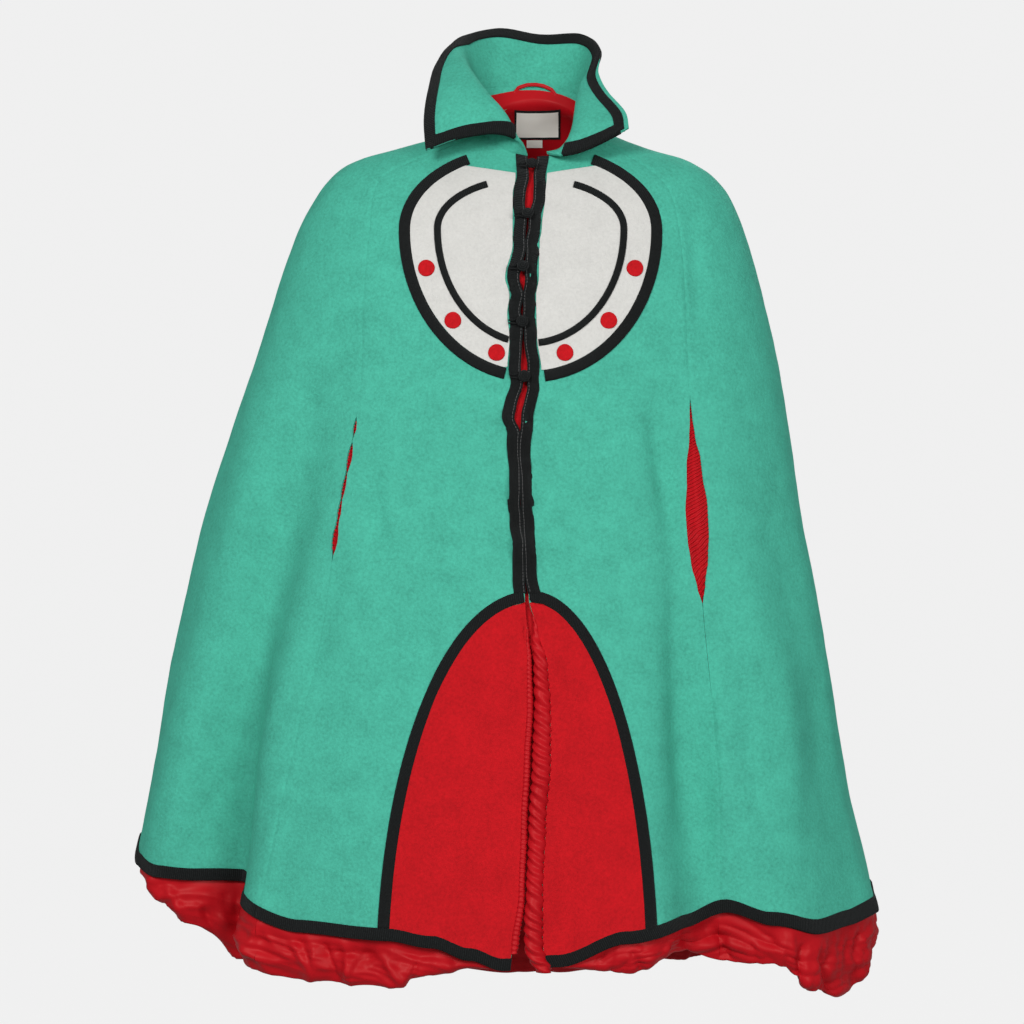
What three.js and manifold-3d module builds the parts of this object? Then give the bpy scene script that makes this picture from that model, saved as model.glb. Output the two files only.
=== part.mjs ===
// A wool cape with a pointed collar, two arm slits and a red lining that hangs below its hem.
// It keeps the hollow form that it has when worn. Millimetres, +Z up, and its front faces -Y.
// The origin is the middle of the neck, and -X is the wearer's right.
import * as THREE from "three";
import { mergeVertices } from "three/addons/utils/BufferGeometryUtils.js";
import Module from "manifold-3d";

const wasm = await Module();
wasm.setup();

// Cloth and trim sizes
const WOOL = 2.4;
const COLLAR_WOOL = 3;
const SATIN = 1;
const SEAM_GAP = 0.3;
const BRAID_WIDTH = 11.5;
const BRAID = 1.8;
const FELT = 1.2;
const EDGE_COLUMN = 12;
const HEM_COLUMN = 0.25;
const SQUARENESS = 2.2;

// The cape's level rings from the neck seam to the hem.
// zFront, zRight, zLeft and zBack are heights; right, left, front and back are distances from the axis.
// seamRight and seamLeft place the front seams and seamBack both back seams, as distances in X.
const RINGS = [
  { zFront: -14, zRight: 22, zLeft: 22, zBack: 58, right: 64, left: 64, front: 60, back: 64,
    middle: 6, seamRight: 50, seamLeft: 60, seamBack: 44 },
  { zFront: -48, zRight: 4, zLeft: 4, zBack: 30, right: 128, left: 112, front: 82, back: 92,
    middle: 3, seamRight: 107, seamLeft: 100, seamBack: 92 },
  { zFront: -95, zRight: -14, zLeft: -16, zBack: -20, right: 187, left: 173, front: 105, back: 116,
    middle: 0, seamRight: 156, seamLeft: 140, seamBack: 140 },
  { zFront: -150, zRight: -45, zLeft: -46, zBack: -88, right: 220, left: 207, front: 122, back: 131,
    middle: 0, seamRight: 165, seamLeft: 153, seamBack: 165 },
  { zFront: -215, zRight: -103, zLeft: -103, zBack: -170, right: 250, left: 230, front: 134, back: 140,
    middle: 0, seamRight: 170, seamLeft: 158, seamBack: 180 },
  { zFront: -300, zRight: -200, zLeft: -200, zBack: -268, right: 281, left: 255, front: 146, back: 150,
    middle: 0, seamRight: 174, seamLeft: 162, seamBack: 196 },
  { zFront: -400, zRight: -300, zLeft: -300, zBack: -380, right: 314, left: 273, front: 158, back: 163,
    middle: 0, seamRight: 189, seamLeft: 168, seamBack: 212 },
  { zFront: -510, zRight: -418, zLeft: -420, zBack: -500, right: 350, left: 291, front: 172, back: 180,
    middle: 0, seamRight: 205, seamLeft: 176, seamBack: 228 },
  { zFront: -620, zRight: -535, zLeft: -540, zBack: -620, right: 374, left: 310, front: 187, back: 198,
    middle: 0, seamRight: 228, seamLeft: 187, seamBack: 244 },
  { zFront: -725, zRight: -642, zLeft: -670, zBack: -735, right: 393, left: 330, front: 201, back: 217,
    middle: 0, seamRight: 248, seamLeft: 196, seamBack: 258 },
  { zFront: -812, zRight: -730, zLeft: -784, zBack: -835, right: 406, left: 358, front: 215, back: 238,
    middle: 0, seamRight: 264, seamLeft: 198, seamBack: 272 },
];
const HEM = RINGS.length - 1;

// The hem's height, and how far the lining hangs below it, round the cape.
// The angle is in degrees from the centre front, and is negative on the wearer's right.
const HEM_LINE = [
  { angle: -180, z: -835, drop: 60 },
  { angle: -152, z: -822, drop: 46 },
  { angle: -128, z: -790, drop: 48 },
  { angle: -108, z: -747, drop: 24 },
  { angle: -90, z: -729, drop: 10 },
  { angle: -77, z: -743, drop: 13 },
  { angle: -68, z: -752, drop: 27 },
  { angle: -61, z: -755, drop: 48 },
  { angle: -54, z: -757, drop: 82 },
  { angle: -44, z: -772, drop: 62 },
  { angle: -32, z: -794, drop: 48 },
  { angle: -18, z: -799, drop: 52 },
  { angle: -12, z: -806, drop: 32 },
  { angle: -3, z: -828, drop: 12 },
  { angle: 3, z: -824, drop: 10 },
  { angle: 13, z: -801, drop: 30 },
  { angle: 25, z: -790, drop: 26 },
  { angle: 33, z: -778, drop: 52 },
  { angle: 40, z: -790, drop: 40 },
  { angle: 52, z: -801, drop: 58 },
  { angle: 62, z: -798, drop: 74 },
  { angle: 76, z: -791, drop: 64 },
  { angle: 90, z: -782, drop: 40 },
  { angle: 106, z: -778, drop: 48 },
  { angle: 130, z: -806, drop: 40 },
  { angle: 155, z: -824, drop: 58 },
  { angle: 180, z: -835, drop: 60 },
];
const HEM_LINE_FROM = 6.5;

// Soft folds that widen from a ring towards the hem: positive out stands proud, negative is a valley.
// Angles and widths are in degrees; along slides the cloth sideways over the fold beside it.
const FOLDS = [
  { from: 4.0, top: -46, hem: -53, width: 9.5, out: -70, along: 0 },
  { from: 5.0, top: -38, hem: -42, width: 7, out: 14, along: -12 },
  { from: 5.5, top: -62, hem: -74, width: 13, out: 9, along: 0 },
  { from: 4.0, top: -20, hem: -20, width: 10, out: 8, along: 0 },
  { from: 3.5, top: 30, hem: 30, width: 8, out: -34, along: 0 },
  { from: 5.0, top: 44, hem: 46, width: 12, out: 12, along: 0 },
  { from: 5.0, top: 17, hem: 14, width: 9, out: 10, along: 0 },
  { from: 5.5, top: 72, hem: 76, width: 11, out: 9, along: 0 },
  { from: 4.5, top: 118, hem: 122, width: 11, out: -30, along: 0 },
  { from: 4.5, top: 148, hem: 150, width: 10, out: 20, along: 0 },
  { from: 4.0, top: 172, hem: 174, width: 9, out: -24, along: 0 },
  { from: 4.5, top: -166, hem: -162, width: 9, out: 18, along: 0 },
  { from: 4.5, top: -138, hem: -140, width: 10, out: -28, along: 0 },
  { from: 5.0, top: -112, hem: -112, width: 11, out: 16, along: 0 },
];

// The front edges ripple: X of the wearer's right and left edges by height, and how far they lift forward.
const EDGES = [
  { z: -14, right: -4, left: 8, liftRight: 0, liftLeft: 0 },
  { z: -38, right: -3, left: 4.5, liftRight: 2, liftLeft: 0 },
  { z: -56, right: -6, left: 3, liftRight: 0, liftLeft: 1 },
  { z: -92, right: -6, left: -1, liftRight: 2, liftLeft: 3 },
  { z: -110, right: -6, left: -3.5, liftRight: 3, liftLeft: 0 },
  { z: -144, right: -13.5, left: -4, liftRight: 5, liftLeft: 2 },
  { z: -162, right: -9, left: -7, liftRight: 0, liftLeft: 3 },
  { z: -180, right: -11.5, left: -6.5, liftRight: 3, liftLeft: 0 },
  { z: -204, right: -9, left: -6, liftRight: 0, liftLeft: 2 },
  { z: -238, right: -11.5, left: -1.5, liftRight: 1, liftLeft: 1 },
  { z: -252, right: -10, left: -3, liftRight: 0, liftLeft: 0 },
  { z: -286, right: -18.5, left: -8.5, liftRight: 7, liftLeft: 1 },
  { z: -302, right: -12, left: -9.5, liftRight: 0, liftLeft: 4 },
  { z: -322, right: -12, left: -10.5, liftRight: 0, liftLeft: 0 },
  { z: -358, right: -11.5, left: -10, liftRight: 4, liftLeft: 4 },
  { z: -392, right: -10, left: -8.5, liftRight: 0, liftLeft: 0 },
  { z: -414, right: -8.5, left: -7, liftRight: 3, liftLeft: 6 },
  { z: -436, right: -8, left: -5.5, liftRight: 0, liftLeft: 0 },
  { z: -466, right: -6, left: -2, liftRight: 0, liftLeft: 0 },
  { z: -500, right: -4, left: 7, liftRight: 0, liftLeft: 2 },
  { z: -530, right: -4, left: 16, liftRight: 2, liftLeft: 6 },
  { z: -570, right: -4, left: 19, liftRight: 0, liftLeft: 2 },
  { z: -620, right: -7, left: 19, liftRight: 2, liftLeft: 8 },
  { z: -680, right: -10, left: 14, liftRight: 0, liftLeft: 3 },
  { z: -740, right: -12, left: 11, liftRight: 3, liftLeft: 8 },
  { z: -790, right: -19, left: 11, liftRight: 0, liftLeft: 2 },
  { z: -830, right: -23, left: 24, liftRight: 0, liftLeft: 0 },
];
const LIFT_REACH = 26;

// The arm slits in the front seams: the rings they run between, how far each edge stands from the
// seam's line, how much of that the facing leaves open for the arm, and how many gathers it has.
const SLITS = {
  right: { from: 5, to: 7.4, part: 10.5, room: 5.4, gathers: 13 },
  left: { from: 5, to: 7.8, part: 15, room: 4.4, gathers: 16 },
};
const LINING_BACK = 1.4;

// The collar's sections from the wearer's right front round the back to the left front.
// angle is the place on the neck ring; roll is the crest of the fall and tip its outer edge.
const COLLAR = [
  { angle: -7, roll: [-36, -76, 7], tip: [-106, -74, -9] },
  { angle: -30, roll: [-34, -70, 30], tip: [-108, -62, 22] },
  { angle: -60, roll: [-50, -50, 56], tip: [-104, -38, 54] },
  { angle: -90, roll: [-64, -12, 82], tip: [-96, 2, 88] },
  { angle: -120, roll: [-64, 34, 96], tip: [-74, 48, 122] },
  { angle: -150, roll: [-38, 68, 98], tip: [-36, 86, 140] },
  { angle: -180, roll: [7, 78, 96], tip: [8, 92, 134] },
  { angle: -210, roll: [48, 66, 90], tip: [56, 74, 133] },
  { angle: -240, roll: [62, 30, 78], tip: [75, 34, 110] },
  { angle: -270, roll: [52, -8, 56], tip: [72, 2, 80] },
  { angle: -300, roll: [49, -42, 34], tip: [82, -28, 54] },
  { angle: -330, roll: [50, -68, 10], tip: [98, -56, 31] },
  { angle: -351, roll: [50, -80, -12], tip: [101, -76, 13] },
];
const COLLAR_STEPS = 2;
const ROLL_AT = 0.5;
const STAND_SHARE = 0.24;
const COLLAR_LIFT = 1.5;

// The appliques' outlines on each front, seen from the front: a rounded bib, and a corner patch at the hem.
const BIB = { z: -92, width: 134, below: 158, above: 92 };
const BIB_INNER = { inside: 36, width: 7 };
const SPOT = { count: 3, radius: 8.5, first: 18, last: 72, inside: 20.5 };
const CORNER = { top: -470, right: { width: 140 }, left: { width: 112 } };
const ARC_STEPS = 17;
const PRISM_DEPTH = 300;

// The lining's sections: inset from the wool, at a ring or a share of the drop below the hem.
const LINING = [
  { v: 0.06, below: 0, inset: 3.4 },
  { v: 0.6, below: 0, inset: 4.6 },
  { v: 1.2, below: 0, inset: 5.5 },
  { v: 2, below: 0, inset: 7 },
  { v: 3, below: 0, inset: 9 },
  { v: 4.5, below: 0, inset: 11 },
  { v: 6, below: 0, inset: 12 },
  { v: 7.4, below: 0, inset: 12 },
  { v: 8.7, below: 0, inset: 14 },
  { v: 10, below: 0.1, inset: 20 },
  { v: 10, below: 0.7, inset: 24 },
  { v: 10, below: 1, inset: 14 },
  { v: 10, below: 0.74, inset: 6 },
  { v: 10, below: 0.3, inset: 4.8 },
  { v: 9.9, below: 0, inset: 5.4 },
];
const LEVEL_FROM = 4;
const LEVEL_FULL = 7;

// The closure and the small pieces
const BUTTON = { radius: 6, shank: 2, rise: 2.2, depth: 4.6, sides: 10, heights: [-25, -79, -134, -189, -244] };
const LOOP = { radius: 0.8, bend: 3.4, reach: 14, sides: 4, steps: 9 };
const SHIELD = { half: 18, from: 0.12, to: 7.1, inset: 0.5 };
const ROLLS = {
  right: { from: -530, to: -808, radius: 4.4, share: 0.36, waves: 13 },
  left: { from: -530, to: -802, radius: 7.5, share: 0.5, waves: 13 },
};
const ROLL_SIDES = 6;
const LABEL = { x: 8.5, z: 37, width: 50, height: 28 };
const SIZE_TAB = { x: 5.5, z: 18.4, width: 17, height: 7.6 };
const LABEL_CLOTH = 0.7;
const HANGER = { radius: 1.7, sides: 5, steps: 12 };

const PANEL_ROWS = [0, 0.35, 0.75, 1.2, 1.7, 2.3, 3, 3.7, 4.4, 5, 5.6, 6.2, 6.8, 7.4, 7.8, 8.4, 9.1,
  HEM - HEM_COLUMN, HEM];

const degrees = (angle) => (angle * Math.PI) / 180;
const clamp = (value, low, high) => Math.min(high, Math.max(low, value));
const mix = (a, b, t) => a + (b - a) * t;
const eased = (t) => t * t * (3 - 2 * t);

// The curve through four values in a row, at a share t between the second and the third.
function throughFour(a, b, c, d, t) {
  return b + 0.5 * t * (c - a + t * (2 * a - 5 * b + 4 * c - d + t * (3 * (b - c) + d - a)));
}

// A column of a table whose rows are evenly numbered, at a fractional row.
function smoothColumn(rows, read, v) {
  const k = clamp(Math.floor(v), 0, rows.length - 2);
  const at = (i) => read(rows[clamp(i, 0, rows.length - 1)]);
  return throughFour(at(k - 1), at(k), at(k + 1), at(k + 2), v - k);
}

const ringValue = (column, v) => smoothColumn(RINGS, (row) => row[column], v);

// A column of a table that is keyed by angle or height, eased from row to row.
function easedColumn(rows, key, column, value) {
  const falling = rows[0][key] > rows[1][key];
  let k = 0;
  while (k < rows.length - 2 && (falling ? value < rows[k + 1][key] : value > rows[k + 1][key])) k += 1;
  const t = clamp((value - rows[k][key]) / (rows[k + 1][key] - rows[k][key]), 0, 1);
  return mix(rows[k][column], rows[k + 1][column], eased(t));
}

// An angle in degrees from -180 to 180.
function wrapped(theta) {
  const turned = (theta * 180) / Math.PI;
  return turned - 360 * Math.round(turned / 360);
}

const power = (value, exponent) => Math.sign(value) * Math.abs(value) ** exponent;

// The cape's outer surface at an angle from the centre front and a fractional ring, without its edge ripples.
function plainPoint(theta, v) {
  const s = Math.sin(theta);
  const c = Math.cos(theta);
  const exponent = 2 / SQUARENESS;
  const half = ringValue(s < 0 ? "right" : "left", v);
  const depth = ringValue(c > 0 ? "front" : "back", v);
  const zSide = ringValue(s < 0 ? "zRight" : "zLeft", v);
  const zMiddle = ringValue(c > 0 ? "zFront" : "zBack", v);
  const point = new THREE.Vector3(
    ringValue("middle", v) + half * power(s, exponent),
    -depth * power(c, exponent),
    mix(zMiddle, zSide, s * s),
  );
  const outward = new THREE.Vector3(s / half, -c / depth, 0).normalize();
  const sideways = new THREE.Vector3(-outward.y, outward.x, 0);
  const angle = wrapped(theta);
  for (const fold of FOLDS) {
    const grown = clamp((v - fold.from) / (HEM - fold.from), 0, 1);
    const away = wrapped(degrees(angle - mix(fold.top, fold.hem, grown))) / fold.width;
    const share = grown ** 1.4 * Math.exp(-away * away);
    point.addScaledVector(outward, fold.out * share).addScaledVector(sideways, fold.along * share);
  }
  if (v > HEM_LINE_FROM) {
    const hemZ = easedColumn(HEM_LINE, "angle", "z", angle);
    const ringZ = mix(ringValue(c > 0 ? "zFront" : "zBack", HEM), ringValue(s < 0 ? "zRight" : "zLeft", HEM), s * s);
    point.z += (hemZ - ringZ) * eased((v - HEM_LINE_FROM) / (HEM - HEM_LINE_FROM));
  }
  return point;
}

// The outer surface with the ripples in which the cloth beside the front edges lifts forward.
function bodyPoint(theta, v) {
  const point = plainPoint(theta, v);
  const angle = wrapped(theta);
  if (Math.abs(angle) > 40) return point;
  const z = ringValue("zFront", v);
  for (const [side, sign] of [["right", -1], ["left", 1]]) {
    const from = sign * (point.x - easedColumn(EDGES, "z", side, z));
    if (from < -0.5 * LIFT_REACH || from > LIFT_REACH || sign * angle < -4) continue;
    const lift = easedColumn(EDGES, "z", side === "right" ? "liftRight" : "liftLeft", z);
    point.y -= lift * (1 - eased(clamp(from / LIFT_REACH, 0, 1)));
    break;
  }
  return point;
}

const STEP = 0.004;

// The outward normal of the outer surface.
function bodyNormal(theta, v) {
  const low = clamp(v - STEP, 0, HEM);
  const high = clamp(v + STEP, 0, HEM);
  const around = bodyPoint(theta + STEP, v).sub(bodyPoint(theta - STEP, v));
  const down = bodyPoint(theta, high).sub(bodyPoint(theta, low));
  return down.cross(around).normalize();
}

// Millimetres of cloth for each radian at a place on the surface.
function spanPerRadian(theta, v) {
  return bodyPoint(theta + STEP, v).distanceTo(bodyPoint(theta - STEP, v)) / (2 * STEP);
}

// The angle at which a ring has this X, on the front half.
function angleAtX(x, v) {
  const fromMiddle = x - ringValue("middle", v);
  const half = ringValue(fromMiddle < 0 ? "right" : "left", v);
  return Math.asin(clamp(power(fromMiddle / half, SQUARENESS / 2), -1, 1));
}

const edgeX = (side, v) => easedColumn(EDGES, "z", side, ringValue("zFront", v));

// How far a slit's wool edge stands from the seam's line.
function slitPart(side, v) {
  const { from, to, part } = SLITS[side];
  const t = clamp((v - from) / (to - from), 0, 1);
  return part * Math.sin(Math.PI * t) ** 1.2;
}

// The angle beside a front or back seam, a number of millimetres towards the side panel.
function besideSeam(side, which, v, towardsSide) {
  const sign = side === "right" ? -1 : 1;
  const column = which === "back" ? "seamBack" : side === "right" ? "seamRight" : "seamLeft";
  const front = angleAtX(sign * ringValue(column, v), v);
  const seam = which === "back" ? sign * Math.PI - front : front;
  const turn = which === "back" ? -sign : sign;
  return seam + (turn * towardsSide) / spanPerRadian(seam, v);
}

// A grid of surface points and normals. angles gives the columns' angles at a ring.
function panelGrid(rows, angles) {
  return rows.map((v) => angles(v).map((theta) => ({
    point: bodyPoint(theta, v),
    normal: bodyNormal(theta, v),
    theta,
    v,
  })));
}

const spread = (from, to, count) => Array.from({ length: count + 1 }, (_, i) => mix(from, to, i / count));

// The front panel's column angles, from its front edge to its front seam.
function frontAngles(side, v) {
  const sign = side === "right" ? -1 : 1;
  const edge = edgeX(side, v);
  const inner = angleAtX(edge + sign * EDGE_COLUMN, v);
  const seam = besideSeam(side, "front", v, -(SEAM_GAP / 2 + slitPart(side, v)));
  return [angleAtX(edge, v), ...spread(inner, seam, FRONT_CELLS)];
}

const FRONT_CELLS = 8;
const BACK_CELLS = 13;
const SIDE_COLUMNS = [0, 0.05, 0.1, 0.16, 0.24, 0.34, 0.46, 0.59, 0.73, 0.87, 1];

// The side panel's column angles, from its front seam over the shoulder to its back seam.
function sideAngles(side, v) {
  const front = besideSeam(side, "front", v, SEAM_GAP / 2 + slitPart(side, v));
  const back = besideSeam(side, "back", v, SEAM_GAP);
  return SIDE_COLUMNS.map((share) => mix(front, back, share));
}

// The back panel's column angles, from the wearer's left back seam to the right.
function backAngles(v) {
  const left = besideSeam("left", "back", v, -SEAM_GAP);
  const right = besideSeam("right", "back", v, -SEAM_GAP) + 2 * Math.PI;
  return spread(left, right, BACK_CELLS);
}

const PANELS = {
  front_right: panelGrid(PANEL_ROWS, (v) => frontAngles("right", v)),
  front_left: panelGrid(PANEL_ROWS, (v) => frontAngles("left", v)),
  side_right: panelGrid(PANEL_ROWS, (v) => sideAngles("right", v)),
  side_left: panelGrid(PANEL_ROWS, (v) => sideAngles("left", v)),
  back: panelGrid(PANEL_ROWS, backAngles),
};

// A panel's point and normal between its own grid points.
function onGrid(grid, row, column) {
  const j = clamp(Math.floor(row), 0, grid.length - 2);
  const i = clamp(Math.floor(column), 0, grid[0].length - 2);
  const blend = (key) => {
    const near = grid[j][i][key].clone().lerp(grid[j][i + 1][key], column - i);
    const far = grid[j + 1][i][key].clone().lerp(grid[j + 1][i + 1][key], column - i);
    return near.lerp(far, row - j);
  };
  return { point: blend("point"), normal: blend("normal").normalize() };
}

// Part of a panel's grid, at fractional rows and columns.
const subGrid = (grid, rows, columns) => rows.map((row) => columns.map((column) => onGrid(grid, row, column)));

const moved = (grid, distance) =>
  grid.map((row) => row.map(({ point, normal }) => point.clone().addScaledVector(normal, distance)));

// A closed wall between two grids of points. keep says which cells it covers.
function wall(outer, inner, keep = () => true) {
  const rows = outer.length;
  const columns = outer[0].length;
  const points = [...outer.flat(), ...inner.flat()];
  const offset = rows * columns;
  const index = [];
  const kept = (j, i) => j >= 0 && i >= 0 && j < rows - 1 && i < columns - 1 && keep(j, i);
  const quad = (a, b, c, d) => index.push(a, b, c, a, c, d);
  for (let j = 0; j < rows - 1; j += 1) {
    for (let i = 0; i < columns - 1; i += 1) {
      if (!kept(j, i)) continue;
      const [a, b, c, d] = [j * columns + i, j * columns + i + 1, (j + 1) * columns + i + 1, (j + 1) * columns + i];
      quad(a, b, c, d);
      index.push(a + offset, c + offset, b + offset, a + offset, d + offset, c + offset);
      if (!kept(j - 1, i)) quad(b, a, a + offset, b + offset);
      if (!kept(j, i + 1)) quad(c, b, b + offset, c + offset);
      if (!kept(j + 1, i)) quad(d, c, c + offset, d + offset);
      if (!kept(j, i - 1)) quad(a, d, d + offset, a + offset);
    }
  }
  const used = [...new Set(index)];
  const place = new Map(used.map((old, n) => [old, n]));
  return facingOut(used.flatMap((n) => points[n].toArray()), index.map((n) => place.get(n)));
}

// A geometry from positions and an index, turned so that its faces point out.
function facingOut(positions, index) {
  const corner = (n) => new THREE.Vector3().fromArray(positions, 3 * n);
  let volume = 0;
  for (let n = 0; n < index.length; n += 3) {
    volume += corner(index[n]).dot(corner(index[n + 1]).cross(corner(index[n + 2])));
  }
  if (volume < 0) index.reverse();
  const geometry = new THREE.BufferGeometry();
  geometry.setAttribute("position", new THREE.Float32BufferAttribute(positions, 3));
  geometry.setIndex(index);
  return geometry;
}

// A wall that lies on a grid, between two distances out from it.
const layer = (grid, from, to, keep) => wall(moved(grid, to), moved(grid, from), keep);

function asSolid(geometry) {
  const bare = geometry.clone();
  bare.deleteAttribute("normal");
  bare.deleteAttribute("uv");
  const merged = mergeVertices(bare, 1e-4);
  return new wasm.Manifold(new wasm.Mesh({
    numProp: 3,
    vertProperties: new Float32Array(merged.attributes.position.array),
    triVerts: new Uint32Array(merged.index.array),
  }));
}

function asGeometry(solid) {
  const mesh = solid.getMesh();
  const geometry = new THREE.BufferGeometry();
  geometry.setAttribute("position", new THREE.Float32BufferAttribute(mesh.vertProperties, 3));
  geometry.setIndex([...mesh.triVerts]);
  return geometry;
}

// The part of a wall that lies within an outline seen along Y, on the front or the back half.
function cutTo(geometry, outline, half) {
  const prism = new THREE.ExtrudeGeometry(new THREE.Shape(outline), { depth: PRISM_DEPTH, bevelEnabled: false });
  prism.rotateX(Math.PI / 2);
  if (half === "back") prism.translate(0, PRISM_DEPTH, 0);
  const pieces = asSolid(geometry).intersect(asSolid(prism)).decompose();
  pieces.sort((a, b) => b.volume() - a.volume());
  return asGeometry(pieces[0]);
}

const FINISH = {
  green: { color: 0x3fae90, roughness: 0.95 },
  black: { color: 0x161616, roughness: 0.9 },
  white: { color: 0xdedbd5, roughness: 0.95 },
  red: { color: 0xb3151e, roughness: 0.9 },
  satin: { color: 0xa8121b, roughness: 0.45 },
  label: { color: 0xc9c7bd, roughness: 0.8 },
};

const cape = new THREE.Group();
cape.name = "wool_cape";

function add(name, geometry, finish) {
  const material = new THREE.MeshStandardMaterial({ ...FINISH[finish], metalness: 0 });
  const mesh = new THREE.Mesh(geometry, material);
  mesh.name = name;
  cape.add(mesh);
}

const lastRow = PANEL_ROWS.length - 1;
const count = (length, from = 0) => Array.from({ length }, (_, i) => from + i);

// The wool panels
for (const [name, grid] of Object.entries(PANELS)) add(name, layer(grid, -WOOL, 0), "green");

// The braid along the hem of each panel
for (const [name, grid] of Object.entries(PANELS)) {
  const strip = subGrid(grid, [lastRow - 1 + 0.04, lastRow - 0.08], count(grid[0].length));
  add(`hem_braid_${name}`, layer(strip, SEAM_GAP, SEAM_GAP + BRAID), "black");
}

// The row of a panel's grid at which its front edge has this height.
function rowAtHeight(grid, z) {
  const k = grid.findIndex((row) => row[0].point.z < z);
  return k - 1 + (z - grid[k - 1][0].point.z) / (grid[k][0].point.z - grid[k - 1][0].point.z);
}

// The braid along each front edge, down to the corner patch
function frontBraid(side) {
  const grid = PANELS[`front_${side}`];
  const end = rowAtHeight(grid, CORNER.top + BRAID_WIDTH + 1.5);
  const rows = [0.1, ...count(Math.floor(end), 1), end];
  add(`front_braid_${side}`, layer(subGrid(grid, rows, [0.05, 0.95]), SEAM_GAP, SEAM_GAP + BRAID), "black");
}
frontBraid("right");
frontBraid("left");

// Points of an ellipse's arc; a wider radius above its middle than below makes an egg.
function arc(sign, middle, width, below, above, from, to) {
  return spread(degrees(from), degrees(to), ARC_STEPS).map((a) => new THREE.Vector2(
    sign * width * Math.cos(a),
    middle + (a < 0 ? above : below) * -Math.sin(a),
  ));
}

// A closed outline between two arcs, or between an arc and a few corners.
const between = (first, second) => [...first, ...[...second].reverse()];

const BIB_ROWS = PANEL_ROWS.findIndex((v) => v > 5);

// The white bib, its braid, its inner line and its row of spots on one front
function bib(side, sign) {
  const grid = PANELS[`front_${side}`];
  const besideBraid = subGrid(grid, [0.5, ...count(BIB_ROWS, 1)], [1.04, ...count(FRONT_CELLS, 2)]);
  const { z, width, below, above } = BIB;
  const egg = (inside) => arc(sign, z, width - inside, below - inside, above - inside, -80, 100);
  const within = (inside) => [...egg(inside), new THREE.Vector2(sign * -60, 40)];
  const cloth = layer(besideBraid, SEAM_GAP, SEAM_GAP + FELT);
  add(`bib_${side}`, cutTo(cloth, within(BRAID_WIDTH + SEAM_GAP), "front"), "white");
  const edging = layer(besideBraid, SEAM_GAP, SEAM_GAP + BRAID);
  add(`bib_braid_${side}`, cutTo(edging, between(egg(0), egg(BRAID_WIDTH)), "front"), "black");
  const top = 2 * SEAM_GAP + FELT;
  const { inside: lineInside, width: lineWidth } = BIB_INNER;
  const line = between(egg(lineInside), egg(lineInside + lineWidth));
  add(`bib_line_${side}`, cutTo(layer(besideBraid, top, top + BRAID), line, "front"), "black");
  const felt = layer(besideBraid, top, top + FELT);
  for (let n = 0; n < SPOT.count; n += 1) {
    const a = degrees(mix(SPOT.first, SPOT.last, n / (SPOT.count - 1)));
    const centre = new THREE.Vector2(
      sign * (width - BRAID_WIDTH - SPOT.inside / 2 - 1.5) * Math.cos(a),
      z - (below - BRAID_WIDTH - SPOT.inside / 2 - 1.5) * Math.sin(a),
    );
    const circle = spread(0, 2 * Math.PI, 14).slice(0, -1).map((turn) => new THREE.Vector2(
      centre.x + SPOT.radius * Math.cos(turn),
      centre.y + SPOT.radius * Math.sin(turn),
    ));
    add(`spot_${side}_${n + 1}`, cutTo(felt, circle, "front"), "red");
  }
}
bib("right", -1);
bib("left", 1);

// The red patch at each front's lower corner, and the braid round it
function corner(side, sign) {
  const grid = PANELS[`front_${side}`];
  const first = Math.floor(rowAtHeight(grid, CORNER.top + 2 * BRAID_WIDTH));
  const rows = [...count(lastRow - 1 - first, first), lastRow - 1 - 0.04];
  const low = subGrid(grid, rows, [0.05, ...count(FRONT_CELLS + 1, 1)]);
  const hemZ = -900;
  const tall = CORNER.top - grid[lastRow][0].point.z;
  const { width } = CORNER[side];
  const curve = (outside) => arc(sign, CORNER.top - tall, width + outside, 0, tall + outside, -97, 0);
  const toHem = (points) => [...points, new THREE.Vector2(points[points.length - 1].x, hemZ)];
  const patch = [...toHem(curve(0)), new THREE.Vector2(sign * -60, hemZ)];
  add(`corner_patch_${side}`, cutTo(layer(low, SEAM_GAP, SEAM_GAP + FELT), patch, "front"), "red");
  const band = between(toHem(curve(SEAM_GAP + BRAID_WIDTH)), toHem(curve(SEAM_GAP)));
  add(`corner_braid_${side}`, cutTo(layer(low, SEAM_GAP, SEAM_GAP + BRAID), band, "front"), "black");
}
corner("right", -1);
corner("left", 1);

// The lining's points hang inside the wool, and turn up again below the hem in a soft pouch.
function liningPoint(theta, row) {
  const normal = bodyNormal(theta, row.v);
  const point = bodyPoint(theta, row.v);
  normal.z *= 1 - eased(clamp((row.v - LEVEL_FROM) / (LEVEL_FULL - LEVEL_FROM), 0, 1));
  point.addScaledVector(normal.normalize(), -row.inset);
  point.z -= row.below * easedColumn(HEM_LINE, "angle", "drop", wrapped(theta));
  return point;
}

// Grid normals from the neighbouring points, towards the side that the first sight of them faces.
function withNormals(points, sign) {
  const at = (j, i) => points[clamp(j, 0, points.length - 1)][clamp(i, 0, points[0].length - 1)];
  return points.map((row, j) => row.map((point, i) => {
    const around = at(j, i + 1).clone().sub(at(j, i - 1));
    const down = at(j + 1, i).clone().sub(at(j - 1, i));
    return { point, normal: down.cross(around).normalize().multiplyScalar(sign) };
  }));
}

function lining(name, sign, angles) {
  const points = LINING.map((row) => angles(row.v).map((theta) => liningPoint(theta, row)));
  const grid = withNormals(points, sign);
  add(`lining_${name}`, layer(grid, -SATIN, 0), "satin");
  return grid;
}

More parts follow.
